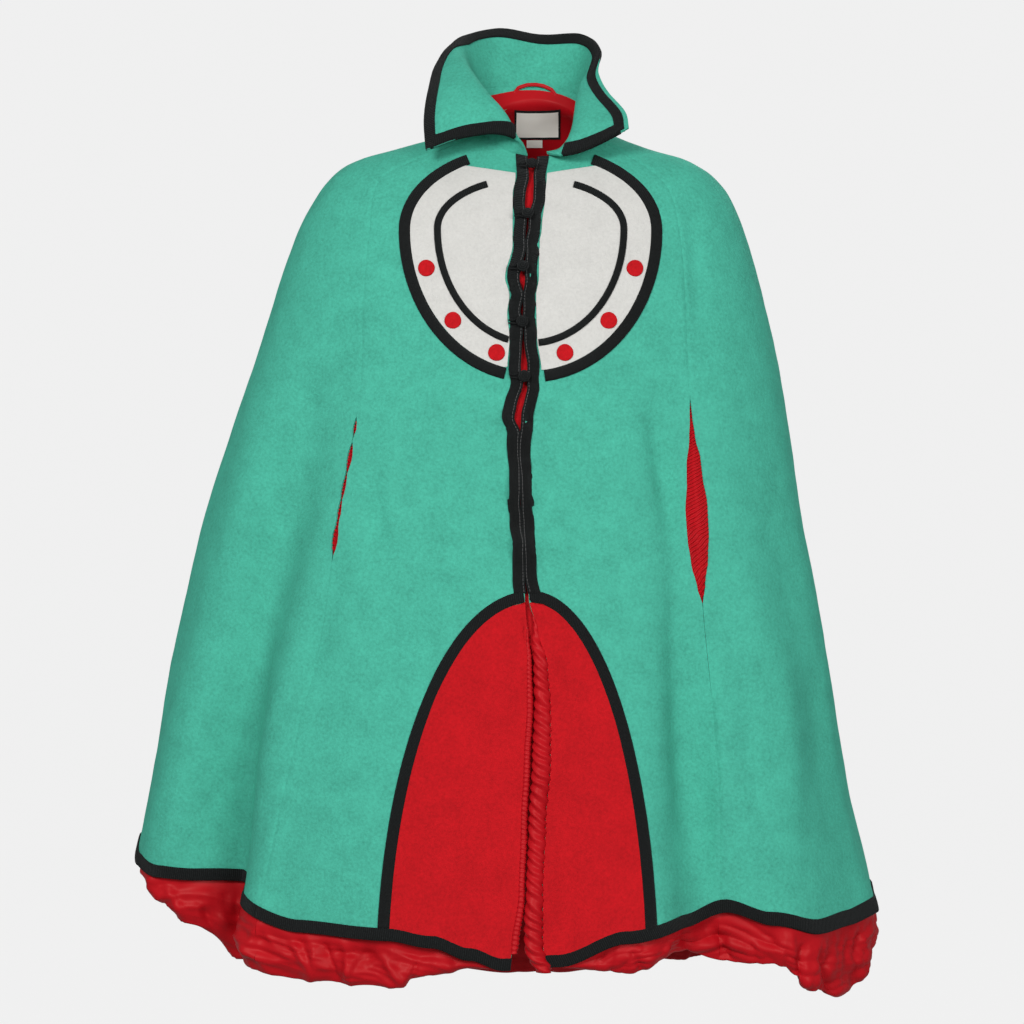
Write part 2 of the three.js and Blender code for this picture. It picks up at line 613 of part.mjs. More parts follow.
for (const [side, sign] of [["right", -1], ["left", 1]]) {
  lining(`front_${side}`, sign, (v) => {
    const columns = frontAngles(side, v).slice(2, -1);
    return [...columns, besideSeam(side, "front", v, -(1 + LINING_BACK * slitPart(side, v)))];
  });
  lining(`side_${side}`, sign, (v) => {
    const front = besideSeam(side, "front", v, 1 + LINING_BACK * slitPart(side, v));
    return [front, ...sideAngles(side, v).slice(1, -1), besideSeam(side, "back", v, 1)];
  });
}
const backLining = lining("back", 1, (v) => {
  const left = besideSeam("left", "back", v, -1);
  return [left, ...backAngles(v).slice(1, -1), besideSeam("right", "back", v, -1) + 2 * Math.PI];
});

// A bare woven label on the lining below the neck, and a size tab below it
function label(name, { x, z, width, height }) {
  const face = -SATIN - SEAM_GAP;
  const cloth = layer(backLining.slice(0, 4), face - LABEL_CLOTH, face);
  const corners = [[-1, -1], [1, -1], [1, 1], [-1, 1]].map(([across, up]) =>
    new THREE.Vector2(x + (across * width) / 2, z + (up * height) / 2));
  add(name, cutTo(cloth, corners, "back"), "label");
}
label("neck_label", LABEL);
label("size_tab", SIZE_TAB);

// The gathered satin facing on one edge of an arm slit
function slitFacing(side, panelName, column, sign) {
  const grid = PANELS[panelName];
  const { from, to, room, gathers } = SLITS[side];
  const first = PANEL_ROWS.indexOf(from);
  const last = PANEL_ROWS.indexOf(to);
  const open = spread(first, last, 200).filter((row) => openAt(side, row) > room + 1);
  const strip = spread(open[0], open[open.length - 1], gathers * 2).map((row, n) => {
    const { point, normal } = onGrid(grid, row, column);
    const below = onGrid(grid, row + 0.1, column).point.sub(point).normalize();
    const away = below.cross(normal).normalize().multiplyScalar(sign);
    const reach = openAt(side, row) - room - 0.5;
    const wave = n % 2 ? 0.7 : -0.7;
    return [0, 1].map((share) => ({
      point: point.clone().addScaledVector(away, 0.5 + share * reach)
        .addScaledVector(normal, -0.9 - 3 * share * share + wave * share),
      normal,
    }));
  });
  add(`slit_facing_${side}_${panelName.split("_")[0]}`, layer(strip, -SATIN, 0), "satin");
}

// How far a slit's edge on the wool's own facets stands from the seam's line, at a fractional row
function openAt(side, row) {
  const k = clamp(Math.floor(row), 0, lastRow - 1);
  return mix(slitPart(side, PANEL_ROWS[k]), slitPart(side, PANEL_ROWS[k + 1]), row - k);
}
slitFacing("right", "front_right", PANELS.front_right[0].length - 1, 1);
slitFacing("right", "side_right", 0, -1);
slitFacing("left", "front_left", PANELS.front_left[0].length - 1, -1);
slitFacing("left", "side_left", 0, 1);

// The collar's upper face at a fractional section and a share from the neck seam to the tip
function collarPoint(section, share) {
  const theta = degrees(smoothColumn(COLLAR, (row) => row.angle, section));
  const base = bodyPoint(theta, 0);
  base.z += COLLAR_LIFT;
  const read = (key) => new THREE.Vector3(...[0, 1, 2].map((n) => smoothColumn(COLLAR, (row) => row[key][n], section)));
  const roll = read("roll");
  const tip = read("tip");
  const a = ((share - ROLL_AT) * (share - 1)) / ROLL_AT;
  const b = (share * (share - 1)) / (ROLL_AT * (ROLL_AT - 1));
  const c = (share * (share - ROLL_AT)) / (1 - ROLL_AT);
  return base.multiplyScalar(a).addScaledVector(roll, b).addScaledVector(tip, c);
}

function collarGrid(shares) {
  const sections = spread(0, COLLAR.length - 1, (COLLAR.length - 1) * COLLAR_STEPS);
  const length = collarPoint(0.2, 0.6).distanceTo(collarPoint(0, 0.6)) / 0.2;
  const end = BRAID_WIDTH / length;
  const columns = [0, end, ...sections.slice(1, -1), sections[sections.length - 1] - end, sections[sections.length - 1]];
  return withNormals(shares.map((share) => columns.map((section) => collarPoint(section, share))), 1);
}

const collar = collarGrid([0, STAND_SHARE / 2, STAND_SHARE, 0.36, 0.48, 0.6, 0.73, 0.87, 1]);
const collarColumns = count(collar[0].length);
const leaf = subGrid(collar, [2.09, ...count(6, 3)], collarColumns);
add("collar_stand", layer(subGrid(collar, [0, 1, 1.92], collarColumns), -COLLAR_WOOL, 0), "green");
add("collar_leaf", layer(leaf, -COLLAR_WOOL, 0), "green");

// The braid along the leaf's two front ends and its outer edge
const leafColumns = collarColumns.length;
const collarFace = -COLLAR_WOOL - SEAM_GAP;
const braidRows = [0.1, ...count(leaf.length - 2, 1), leaf.length - 1.08];
const braidColumns = [0.06, ...count(leafColumns - 2, 1), leafColumns - 1.06];
add("collar_braid", layer(subGrid(leaf, braidRows, braidColumns), collarFace - BRAID, collarFace,
  (j, i) => j === leaf.length - 2 || i === 0 || i === leafColumns - 2), "black");

// The red shield behind the front opening
function shield() {
  const rows = [SHIELD.from, ...PANEL_ROWS.filter((v) => v > SHIELD.from && v < SHIELD.to), SHIELD.to];
  const points = rows.map((v) => {
    const middle = (edgeX("right", v) + edgeX("left", v)) / 2;
    return spread(middle - SHIELD.half, middle + SHIELD.half, 2).map((x) => plainPoint(angleAtX(x, v), v));
  });
  return layer(withNormals(points, 1), -WOOL - SHIELD.inset - SATIN, -WOOL - SHIELD.inset);
}
add("front_shield", shield(), "satin");

// A closed tube along a curve
function tube(points, { radius, sides, steps }) {
  const section = new THREE.Shape(spread(0, 2 * Math.PI, sides).slice(0, -1).map((turn) =>
    new THREE.Vector2(radius * Math.cos(turn), radius * Math.sin(turn))));
  const extrudePath = new THREE.CatmullRomCurve3(points);
  return new THREE.ExtrudeGeometry(section, { steps, extrudePath, bevelEnabled: false });
}

// The hanger loop arches up from the neck seam over the stand, inside the back of the neck.
const hangerPath = [[0.12, 11.85, 0.4], [1.15, 12.05, 1], [1.75, 13, 1.4], [1.15, 13.95, 1], [0.12, 14.15, 0.4]];
add("hanger_loop", tube(hangerPath.map(([row, column, off]) => {
  const { point, normal } = onGrid(collar, row, column);
  return point.clone().addScaledVector(normal, -COLLAR_WOOL - HANGER.radius - off);
}), HANGER), "satin");

// A front's edge on its own facets, at a height
function edgeAt(side, z) {
  const grid = PANELS[`front_${side}`];
  return onGrid(grid, rowAtHeight(grid, z), 0).point;
}

// The level at which something lies across both fronts' edges near a height, and its slope
function acrossEdges(height, reach) {
  const middle = Math.min(height, edgeAt("left", height).z, -15 - reach);
  const places = spread(middle - reach, middle + reach, 6);
  const both = (z) => ["right", "left"].map((side) => edgeAt(side, z).y);
  const mean = (z) => (both(z)[0] + both(z)[1]) / 2;
  const slope = (mean(middle + reach) - mean(middle - reach)) / (2 * reach);
  const proud = Math.min(...places.flatMap((z) => both(z).map((y) => y - slope * (z - middle))));
  return { slope, y: proud + slope * (height - middle) };
}

// A felt button over the opening, and the cord loop round its shank
function closure(height, n) {
  const x = (edgeAt("left", height).x + edgeAt("right", height).x) / 2;
  const { radius, shank, rise, depth, sides } = BUTTON;
  const { slope, y } = acrossEdges(height, radius);
  const base = y - (1.5 * SEAM_GAP + BRAID) * Math.hypot(1, slope);
  const place = (geometry) => geometry.rotateX(-Math.atan(slope)).translate(x, base, height);
  const profile = [[0, 0], [shank, 0], [shank, rise], [radius, rise + 0.25 * depth], [radius * 0.93, rise + 0.6 * depth],
    [radius * 0.6, rise + 0.9 * depth], [0, rise + depth]].map(([across, out]) => new THREE.Vector2(across, out));
  add(`button_${n}`, place(new THREE.LatheGeometry(profile, sides).rotateX(Math.PI)), "black");
  const cord = [[-LOOP.reach, 1.5], [-0.6 * LOOP.reach, 1.7], [-2, 3.1], [1.6, 3.1], [LOOP.bend, 0], [1.6, -3.1],
    [-2, -3.1], [-0.6 * LOOP.reach, -1.7], [-LOOP.reach, -1.5]];
  const path = cord.map(([across, up]) => new THREE.Vector3(across, -LOOP.radius - 0.1, up));
  add(`button_loop_${n}`, place(tube(path, LOOP)), "black");
}
BUTTON.heights.forEach((height, n) => closure(height, n + 1));

// A puckered satin roll along a front's lower edge
function edgeRoll(side, sign) {
  const { from, to, radius, share, waves } = ROLLS[side];
  const steps = waves * 2;
  const rings = spread(from, to, steps).map((z, n) => {
    const edge = edgeAt(side, z);
    const room = (edgeAt("left", z).x - edgeAt("right", z).x) / 2;
    const taper = Math.min(1, (n + 2) / 6, (steps - n + 2) / 6);
    const r = Math.min(radius, room * share) * taper * (n % 2 ? 1 : 0.82);
    const x = edge.x - sign * (r + 0.8);
    return spread(0, 2 * Math.PI, ROLL_SIDES).slice(0, -1).map((turn) =>
      new THREE.Vector3(x + r * Math.cos(turn), edge.y + WOOL / 2 + r * Math.sin(turn), z));
  });
  return sleeve(rings);
}

// A closed skin over rings of points, with flat ends
function sleeve(rings) {
  const sides = rings[0].length;
  const positions = rings.flat().flatMap((point) => point.toArray());
  const index = [];
  for (let j = 0; j < rings.length - 1; j += 1) {
    for (let i = 0; i < sides; i += 1) {
      const next = (i + 1) % sides;
      const [a, b, c, d] = [j * sides + i, j * sides + next, (j + 1) * sides + next, (j + 1) * sides + i];
      index.push(a, b, c, a, c, d);
    }
  }
  const last = (rings.length - 1) * sides;
  for (let i = 1; i < sides - 1; i += 1) {
    index.push(0, i + 1, i, last, last + i, last + i + 1);
  }
  return facingOut(positions, index);
}
add("edge_roll_right", edgeRoll("right", -1), "satin");
add("edge_roll_left", edgeRoll("left", 1), "satin");

export default cape;
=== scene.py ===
import math

import bmesh
import bpy
import numpy as np
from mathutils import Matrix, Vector, noise
from mathutils.bvhtree import BVHTree


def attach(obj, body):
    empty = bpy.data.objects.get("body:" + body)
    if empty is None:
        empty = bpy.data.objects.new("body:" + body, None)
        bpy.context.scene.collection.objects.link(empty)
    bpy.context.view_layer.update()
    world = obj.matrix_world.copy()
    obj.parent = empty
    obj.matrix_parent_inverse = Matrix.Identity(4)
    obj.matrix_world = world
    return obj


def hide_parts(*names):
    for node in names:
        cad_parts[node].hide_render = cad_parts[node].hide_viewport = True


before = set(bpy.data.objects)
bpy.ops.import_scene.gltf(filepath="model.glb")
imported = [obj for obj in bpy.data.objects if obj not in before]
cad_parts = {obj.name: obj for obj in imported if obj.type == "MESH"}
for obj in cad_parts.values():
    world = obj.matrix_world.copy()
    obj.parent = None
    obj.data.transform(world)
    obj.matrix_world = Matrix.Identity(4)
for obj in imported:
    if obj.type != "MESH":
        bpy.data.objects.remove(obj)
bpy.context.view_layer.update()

bl_info = {
    "name": "Wool Cape",
    "version": (1, 0, 0),
    "blender": (4, 5, 0),
    "location": "3D View > Sidebar > Wool Cape",
    "description": "Dresses a wool cape with a pointed collar, two arm slits and a hanging red lining",
    "category": "Mesh",
}

MM = 0.001
ROOT = "root"
SIDES = (("right", -1), ("left", 1))


def columns(names, *rows):
    """A table with named columns, each one an array."""
    return dict(zip(names.split(), np.array(rows, dtype=float).T))


# The cape's level rings from the neck seam to the hem, in millimetres, as in the CAD model.
RINGS = columns(
    "zFront zRight zLeft zBack right left front back middle seamRight seamLeft seamBack",
    (-14, 22, 22, 58, 64, 64, 60, 64, 6, 50, 60, 44),
    (-48, 4, 4, 30, 128, 112, 82, 92, 3, 107, 100, 92),
    (-95, -14, -16, -20, 187, 173, 105, 116, 0, 156, 140, 140),
    (-150, -45, -46, -88, 220, 207, 122, 131, 0, 165, 153, 165),
    (-215, -103, -103, -170, 250, 230, 134, 140, 0, 170, 158, 180),
    (-300, -200, -200, -268, 281, 255, 146, 150, 0, 174, 162, 196),
    (-400, -300, -300, -380, 314, 273, 158, 163, 0, 189, 168, 212),
    (-510, -418, -420, -500, 350, 291, 172, 180, 0, 205, 176, 228),
    (-620, -535, -540, -620, 374, 310, 187, 198, 0, 228, 187, 244),
    (-725, -642, -670, -735, 393, 330, 201, 217, 0, 248, 196, 258),
    (-812, -730, -784, -835, 406, 358, 215, 238, 0, 264, 198, 272),
)
HEM = 10
SQUARENESS = 2.2

# The hem's height and the lining's drop below it, by the angle from the centre front in degrees.
HEM_LINE = columns(
    "angle z drop",
    (-180, -835, 60), (-152, -822, 46), (-128, -790, 48), (-108, -747, 24), (-90, -729, 10),
    (-77, -743, 13), (-68, -752, 27), (-61, -755, 48), (-54, -757, 82), (-44, -772, 62),
    (-32, -794, 48), (-18, -799, 47), (-12, -806, 27), (-7, -818, 9), (-3, -828, 0), (3, -824, 2),
    (13, -801, 30), (25, -790, 26), (33, -778, 52), (40, -790, 40), (52, -801, 58),
    (62, -798, 74), (76, -791, 64), (90, -782, 40), (106, -778, 48), (130, -806, 40),
    (155, -824, 58), (180, -835, 60),
)
HEM_LINE_FROM = 6.5

# Broad folds that widen towards the hem; angles and widths are in degrees.
FOLDS = columns(
    "start top hem width out along",
    (4.0, -46, -53, 9.5, -70, 0),
    (5.0, -38, -42, 7, 14, -12),
    (5.5, -62, -74, 13, 9, 0),
    (4.0, -20, -20, 10, 8, 0),
    (3.5, 30, 30, 8, -34, 0),
    (5.0, 44, 46, 12, 12, 0),
    (5.0, 17, 14, 9, 10, 0),
    (5.5, 72, 76, 11, 9, 0),
    (4.5, 118, 122, 11, -30, 0),
    (4.5, 148, 150, 10, 20, 0),
    (4.0, 172, 174, 9, -24, 0),
    (4.5, -166, -162, 9, 18, 0),
    (4.5, -138, -140, 10, -28, 0),
    (5.0, -112, -112, 11, 16, 0),
)

# The front edges' X by height, and how far each lifts forward.
EDGES = columns(
    "z right left liftRight liftLeft",
    (-14, -4, 8, 0, 0), (-38, -3, 4.5, 2, 0), (-56, -6, 3, 0, 1), (-92, -6, -1, 2, 3),
    (-110, -6, -3.5, 3, 0), (-144, -13.5, -4, 5, 2), (-162, -9, -7, 0, 3), (-180, -11.5, -6.5, 3, 0),
    (-204, -9, -6, 0, 2), (-238, -11.5, -1.5, 1, 1), (-252, -10, -3, 0, 0), (-286, -18.5, -8.5, 7, 1),
    (-302, -12, -9.5, 0, 4), (-322, -12, -10.5, 0, 0), (-358, -11.5, -10, 4, 4), (-392, -10, -8.5, 0, 0),
    (-414, -8.5, -7, 3, 6), (-436, -8, -5.5, 0, 0), (-466, -6, -2, 0, 0), (-500, -4, 7, 0, 2),
    (-530, -4, 16, 2, 6), (-570, -4, 19, 0, 2), (-620, -7, 19, 2, 8), (-680, -10, 14, 0, 3),
    (-740, -12, 11, 3, 8), (-790, -19, 11, 0, 2), (-830, -23, 24, 0, 0),
)
LIFT_REACH = 26

# Where each arm slit runs, by ring. The wearer's left one gapes; the right one shows as short lenses.
SLIT_FROM, SLIT_TO = 5, {"right": 7.4, "left": 7.8}
# How far the slits' edges stand from the seam in the CAD model at most.
SLIT_PART = 15
# How far the left slit's edges stand from the seam's line by height, and the right one's lenses.
GAPE = columns(
    "z part",
    (-262, 0.2), (-285, 1.6), (-306, 3.5), (-330, 8), (-346, 8.8), (-376, 12.2), (-403, 11.8), (-430, 9.3),
    (-453, 4.6), (-474, 0.15), (-700, 0.05),
)
LENSES = columns(
    "top low width",
    (-286, -304, 2.2), (-309, -342, 3.0), (-339, -371, 2.3), (-367, -394, 2.3), (-389, -425, 3.4),
)

# The collar's sections: the angle on the neck ring, the crest of the fall and the outer edge.
COLLAR = columns(
    "angle rollX rollY rollZ tipX tipY tipZ",
    (-7, -36, -76, 7, -106, -74, -9),
    (-30, -34, -70, 30, -108, -62, 22),
    (-60, -50, -50, 56, -104, -38, 54),
    (-90, -64, -12, 82, -96, 2, 88),
    (-120, -64, 34, 96, -74, 48, 122),
    (-150, -38, 68, 98, -36, 86, 140),
    (-180, 7, 78, 96, 8, 92, 134),
    (-210, 48, 66, 90, 56, 74, 133),
    (-240, 62, 30, 78, 75, 34, 110),
    (-270, 52, -8, 56, 72, 2, 80),
    (-300, 49, -42, 34, 82, -28, 54),
    (-330, 50, -68, 10, 98, -56, 31),
    (-351, 50, -80, -12, 101, -76, 13),
)
STAND_SHARE = 0.24
COLLAR_LIFT = 1.5

# The appliques' outlines, seen from the front.
BIB_Z, BIB_WIDTH, BIB_BELOW, BIB_ABOVE = -92, 134, 158, 92
BIB_TOP = -33
BIB_LINE_INSIDE, BIB_LINE_WIDTH = 36, 7
SPOT_RADIUS, SPOT_FIRST, SPOT_LAST, SPOT_INSIDE = 8.5, 18, 72, 20.5
LABEL, TAB = (50, 28), (17, 7.6)
CORNER_TOP = -470
CORNER_WIDTH = {"right": 140, "left": 112}

# The lining inside the cape, and its pouch below the hem: inset from the wool, and a share of the drop.
LINING = columns(
    "v below inset",
    (0.06, 0, 3.4), (0.6, 0, 4.6), (1.2, 0, 5.5), (2, 0, 7), (3, 0, 9), (4.5, 0, 11), (6, 0, 12),
    (7.4, 0, 12), (8.7, 0, 14), (10, 0.1, 20), (10, 0.7, 24), (10, 1, 14), (10, 0.74, 6),
    (10, 0.3, 4.8), (9.9, 0, 5.4),
)

# Soft creases in the wool, as seen from the front: three points of a curve, width and rise in millimetres.
FRONT_CREASES = columns(
    "x0 z0 x1 z1 x2 z2 width rise",
    (-158, -338, -152, -390, -138, -430, 9, -3.5),
    (-178, -460, -172, -480, -166, -505, 8, -2),
    (-238, -250, -228, -262, -218, -276, 9, -2.5),
    (-182, -425, -214, -520, -230, -566, 12, -3),
    (-95, -540, -99, -556, -104, -580, 14, -2.5),
    (118, -270, 134, -350, 142, -430, 11, -5),
    (142, -430, 146, -560, 160, -715, 13, -5),
    (186, -484, 192, -620, 186, -744, 12, 3.5),
    (218, -520, 220, -620, 226, -700, 9, -2),
    (258, -520, 262, -620, 262, -740, 15, 3),
    (166, -60, 169, -130, 166, -196, 10, -2),
)

# Creases in the hanging lining, as seen from the front: two ends, width and rise in millimetres.
POUCH_CREASES = columns(
    "x0 z0 x1 z1 width rise",
    (-372, -760, -350, -800, 4, 4), (-340, -770, -318, -826, 4, -4), (-300, -775, -280, -822, 3.5, 4),
    (-262, -768, -286, -826, 4, 4), (-240, -800, -214, -836, 4, 5), (-206, -802, -190, -842, 3.5, -4),
    (-170, -808, -186, -846, 4, 5), (-150, -812, -120, -850, 4, 5), (-108, -814, -124, -852, 3.5, -4),
    (-84, -814, -66, -852, 4, 5), (-50, -822, -34, -852, 3.5, 4), (30, -836, 46, -852, 3.5, 4),
    (70, -808, 58, -838, 3.5, 4), (96, -806, 118, -846, 4, 5), (136, -798, 128, -862, 4, -5),
    (158, -790, 150, -862, 4, 6), (182, -790, 208, -858, 4, 6), (196, -770, 246, -812, 3.5, 4),
    (214, -800, 240, -868, 4, 5), (250, -806, 246, -872, 4, -5), (276, -806, 262, -864, 4, 5),
    (290, -812, 306, -880, 4, 6), (318, -800, 314, -862, 3.5, -4), (336, -792, 330, -840, 4, 5),
)


def smooth(table, column, at):
    """A column of an evenly numbered table at a fractional row, along a smooth curve."""
    rows = table[column]
    last = len(rows) - 1
    k = np.clip(np.floor(at).astype(int), 0, last - 1)
    t = at - k
    a, b, c, d = (rows[np.clip(k + step, 0, last)] for step in (-1, 0, 1, 2))
    return b + 0.5 * t * (c - a + t * (2 * a - 5 * b + 4 * c - d + t * (3 * (b - c) + d - a)))


def ease(t):
    """A share from 0 to 1 with soft ends."""
    t = np.clip(t, 0, 1)
    return t * t * (3 - 2 * t)


def eased(table, key, column, at):
    """A column of a table keyed by angle or height, eased from row to row."""
    keys, values = table[key], table[column]
    if keys[0] > keys[-1]:
        keys, values = keys[::-1], values[::-1]
    k = np.clip(np.searchsorted(keys, at, side="right") - 1, 0, len(keys) - 2)
    return values[k] + (values[k + 1] - values[k]) * ease((at - keys[k]) / (keys[k + 1] - keys[k]))


def power(value, exponent):
    """A signed power."""
    return np.sign(value) * np.abs(value) ** exponent


def wrapped(angle):
    """An angle in degrees brought to between -180 and 180."""
    return angle - 360 * np.round(angle / 360)


def ring(column, v):
    """A size of the cape's rings at a fractional ring."""
    return smooth(RINGS, column, v)


def cape(theta, v):
    """The wool's outer surface at an angle from the centre front and a fractional ring."""
    theta, v = np.broadcast_arrays(theta, v)
    s, c = np.sin(theta), np.cos(theta)
    half = np.where(s < 0, ring("right", v), ring("left", v))
    depth = np.where(c > 0, ring("front", v), ring("back", v))
    z_side = np.where(s < 0, ring("zRight", v), ring("zLeft", v))
    z_middle = np.where(c > 0, ring("zFront", v), ring("zBack", v))
    x = ring("middle", v) + half * power(s, 2 / SQUARENESS)
    y = -depth * power(c, 2 / SQUARENESS)
    z = z_middle + (z_side - z_middle) * s * s
    out_x, out_y = s / half, -c / depth
    long = np.hypot(out_x, out_y)
    out_x, out_y = out_x / long, out_y / long
    angle = wrapped(np.degrees(theta))
    for start, top, hem, width, out, along in zip(*FOLDS.values()):
        grown = np.clip((v - start) / (HEM - start), 0, 1)
        away = wrapped(angle - (top + (hem - top) * grown)) / width
        share = grown ** 1.4 * np.exp(-away * away)
        x = x + (out_x * out - out_y * along) * share
        y = y + (out_y * out + out_x * along) * share
    hem_z = eased(HEM_LINE, "angle", "z", angle)
    low_middle = np.where(c > 0, RINGS["zFront"][-1], RINGS["zBack"][-1])
    low_side = np.where(s < 0, RINGS["zRight"][-1], RINGS["zLeft"][-1])
    low = low_middle + (low_side - low_middle) * s * s
    z = z + (hem_z - low) * ease((v - HEM_LINE_FROM) / (HEM - HEM_LINE_FROM))
    level = ring("zFront", v)
    for side, sign in SIDES:
        beside = sign * (x - eased(EDGES, "z", side, level))
        lift = eased(EDGES, "z", "lift" + side.title(), level) * (1 - ease(beside / LIFT_REACH))
        near = (np.abs(angle) < 40) & (sign * angle > -4) & (beside > -13) & (beside < LIFT_REACH)
        y = y - np.where(near, lift, 0)
    return np.stack([x, y, z], axis=-1)


def span(theta, v):
    """Millimetres of cloth for each radian."""
    return np.linalg.norm(cape(theta + 0.004, v) - cape(theta - 0.004, v), axis=-1) / 0.008


def outward(theta, v):
    """The outer surface's normals."""
    low, high = np.clip(v - 0.004, 0, HEM), np.clip(v + 0.004, 0, HEM)
    around = cape(theta + 0.004, v) - cape(theta - 0.004, v)
    return unit(np.cross(cape(theta, high) - cape(theta, low), around))


def run_along(line):
    """Distances along a line of places from its first."""
    return np.concatenate([[0.0], np.cumsum(np.linalg.norm(np.diff(line, axis=0), axis=1))])


def unit(vectors):
    """Vectors brought to length one."""
    return vectors / np.maximum(np.linalg.norm(vectors, axis=-1, keepdims=True), 1e-9)


def grid_normals(points, sign=1):
    """Normals of a grid of points, rows going down and columns round the cape."""
    down = np.gradient(points, axis=0)
    around = np.gradient(points, axis=1)
    return sign * unit(np.cross(down, around))


def angle_at_x(x, v):
    """The angle at which a ring has this X, on the front half."""
    away = x - ring("middle", v)
    half = np.where(away < 0, ring("right", v), ring("left", v))
    return np.arcsin(np.clip(power(away / half, SQUARENESS / 2), -1, 1))


def edge_x(side, v):
    """The X of a front edge at a ring."""
    return eased(EDGES, "z", side, ring("zFront", v))


def slit_part(side, v):
    """How far a slit's wool edge stands from the seam's line."""
    t = np.clip((v - SLIT_FROM) / (SLIT_TO[side] - SLIT_FROM), 0, 1)
    if side == "left":
        z = cape(angle_at_x(ring("seamLeft", v), v), v)[..., 2]
        return np.where((t > 0) & (t < 1), eased(GAPE, "z", "part", np.clip(z, GAPE["z"][-1], GAPE["z"][0])), 0.0)
    z = cape(angle_at_x(-ring("seamRight", v), v), v)[..., 2]
    part = np.where((t > 0) & (t < 1), 0.06, 0.0)
    for top, low, width in zip(*LENSES.values()):
        part = part + width * np.sin(np.pi * np.clip((top - z) / (top - low), 0, 1)) ** 0.8
    return part


def beside_seam(side, which, v, towards_side):
    """The angle beside a front or back seam, some millimetres towards the side panel."""
    sign = -1 if side == "right" else 1
    column = "seamBack" if which == "back" else "seam" + side.title()
    seam = angle_at_x(sign * ring(column, v), v)
    turn = sign
    if which == "back":
        seam, turn = sign * np.pi - seam, -sign
    return seam + turn * towards_side / span(seam, v)


def ripple(points, size, seed=0.0):
    """Smooth noise from -1 to 1 over places in millimetres."""
    flat = (points.reshape(-1, points.shape[-1]) / size + seed).tolist()
    return np.array([noise.noise(place) for place in flat]).reshape(points.shape[:-1])


def crease_relief(points, table, facing):
    """The rise of the creases of a table at places on the front or back half."""
    shape = points.shape[:-1]
    flat = points.reshape(-1, 3)
    rise = np.zeros(len(flat))
    front = ease((-facing * flat[:, 1] - 4) / 20)
    names = list(table)
    curved = "x2" in names
    t = np.linspace(0, 1, 60)
    for row in zip(*table.values()):
        size = dict(zip(names, row))
        if curved:
            share = ((1 - t) ** 2, 2 * t * (1 - t), t * t)
            bend = {axis: 2 * size[axis + "1"] - 0.5 * (size[axis + "0"] + size[axis + "2"]) for axis in "xz"}
            line = [share[0] * size[axis + "0"] + share[1] * bend[axis] + share[2] * size[axis + "2"] for axis in "xz"]
        else:
            line = [size[axis + "0"] + (size[axis + "1"] - size[axis + "0"]) * t for axis in "xz"]
        reach = 3 * size["width"]
        near = np.flatnonzero(
            (flat[:, 0] > line[0].min() - reach) & (flat[:, 0] < line[0].max() + reach)
            & (flat[:, 2] > line[1].min() - reach) & (flat[:, 2] < line[1].max() + reach) & (front > 0))
        if not len(near):
            continue
        away = np.hypot(flat[near, 0, None] - line[0], flat[near, 2, None] - line[1])
        best = away.argmin(axis=1)
        taper = np.sin(np.pi * np.clip(t[best], 0.02, 0.98)) ** 0.7
        rise[near] += size["rise"] * taper * np.exp(-(away.min(axis=1) / size["width"]) ** 2) * front[near]
    return rise.reshape(shape)


def wool_relief(points):
    """The small unevenness and the soft creases of the wool."""
    grown = ease((-points[..., 2] - 80) / 500)
    tall = points * np.array([1, 1, 0.28])
    return (0.9 * ripple(points, 70, 3.1) + 0.45 * ripple(points, 20, 7.7) + 8 * grown * ripple(tall, 62, 9.3)
            + 1.5 * crease_relief(points, FRONT_CREASES, 1))


def wool(theta, v):
    """The wool's surface with its creases."""
    points = cape(theta, v)
    return points + outward(theta, v) * wool_relief(points)[..., None]


NEAR_EDGE = np.array([0, 0.9, 2.0, 4.0, 7.0, 11.0])


def fan(first, last, v, count):
    """Columns of angles from first to last at each ring, closer together beside both edges."""
    width = np.abs(last - first) * span((first + last) / 2, v)
    near = NEAR_EDGE[None, :] / width[:, None]
    middle = np.linspace(near[:, -1], 1 - near[:, -1], count, axis=1)
    share = np.hstack([near[:, :-1], middle, 1 - near[:, -2::-1]])
    return first[:, None] + (last - first)[:, None] * share


def panel_limits(name, v, gap, part=slit_part):
    """The first and last angle of a panel at each ring."""
    if name == "back":
        return (beside_seam("left", "back", v, -gap), beside_seam("right", "back", v, -gap) + 2 * np.pi)
    kind, side = name.split("_")
    seam = gap + part(side, v)
    if kind == "front":
        return angle_at_x(edge_x(side, v), v), beside_seam(side, "front", v, -seam)
    return beside_seam(side, "front", v, seam), beside_seam(side, "back", v, gap)


PANELS = {"front_right": 46, "front_left": 42, "side_right": 84, "side_left": 78, "back": 124}


# Meshes

def linked(name, data):
    """A new object in the scene."""
    made = bpy.data.objects.new(name, data)
    bpy.context.scene.collection.objects.link(made)
    return made


def new_piece(name, bm, material, nodes=()):
    """An object for a mesh, which rides on the cape and stands for CAD nodes."""
    mesh = bpy.data.meshes.new(name)
    bm.to_mesh(mesh)
    bm.free()
    mesh.shade_smooth()
    mesh.materials.append(material)
    piece = linked(name, mesh)
    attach(piece, ROOT)
    if nodes:
        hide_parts(*nodes)
    return piece


def texture_lengths(points):
    """Distances across and down a grid in metres, for its texture coordinates."""
    across = np.linalg.norm(np.diff(points, axis=1), axis=-1)
    down = np.linalg.norm(np.diff(points, axis=0), axis=-1)
    u = np.zeros(points.shape[:2])
    w = np.zeros(points.shape[:2])
    u[:, 1:] = np.cumsum(across, axis=1)
    w[1:, :] = np.cumsum(down, axis=0)
    return np.stack([u - u.mean(axis=1, keepdims=True), w], axis=-1) * MM


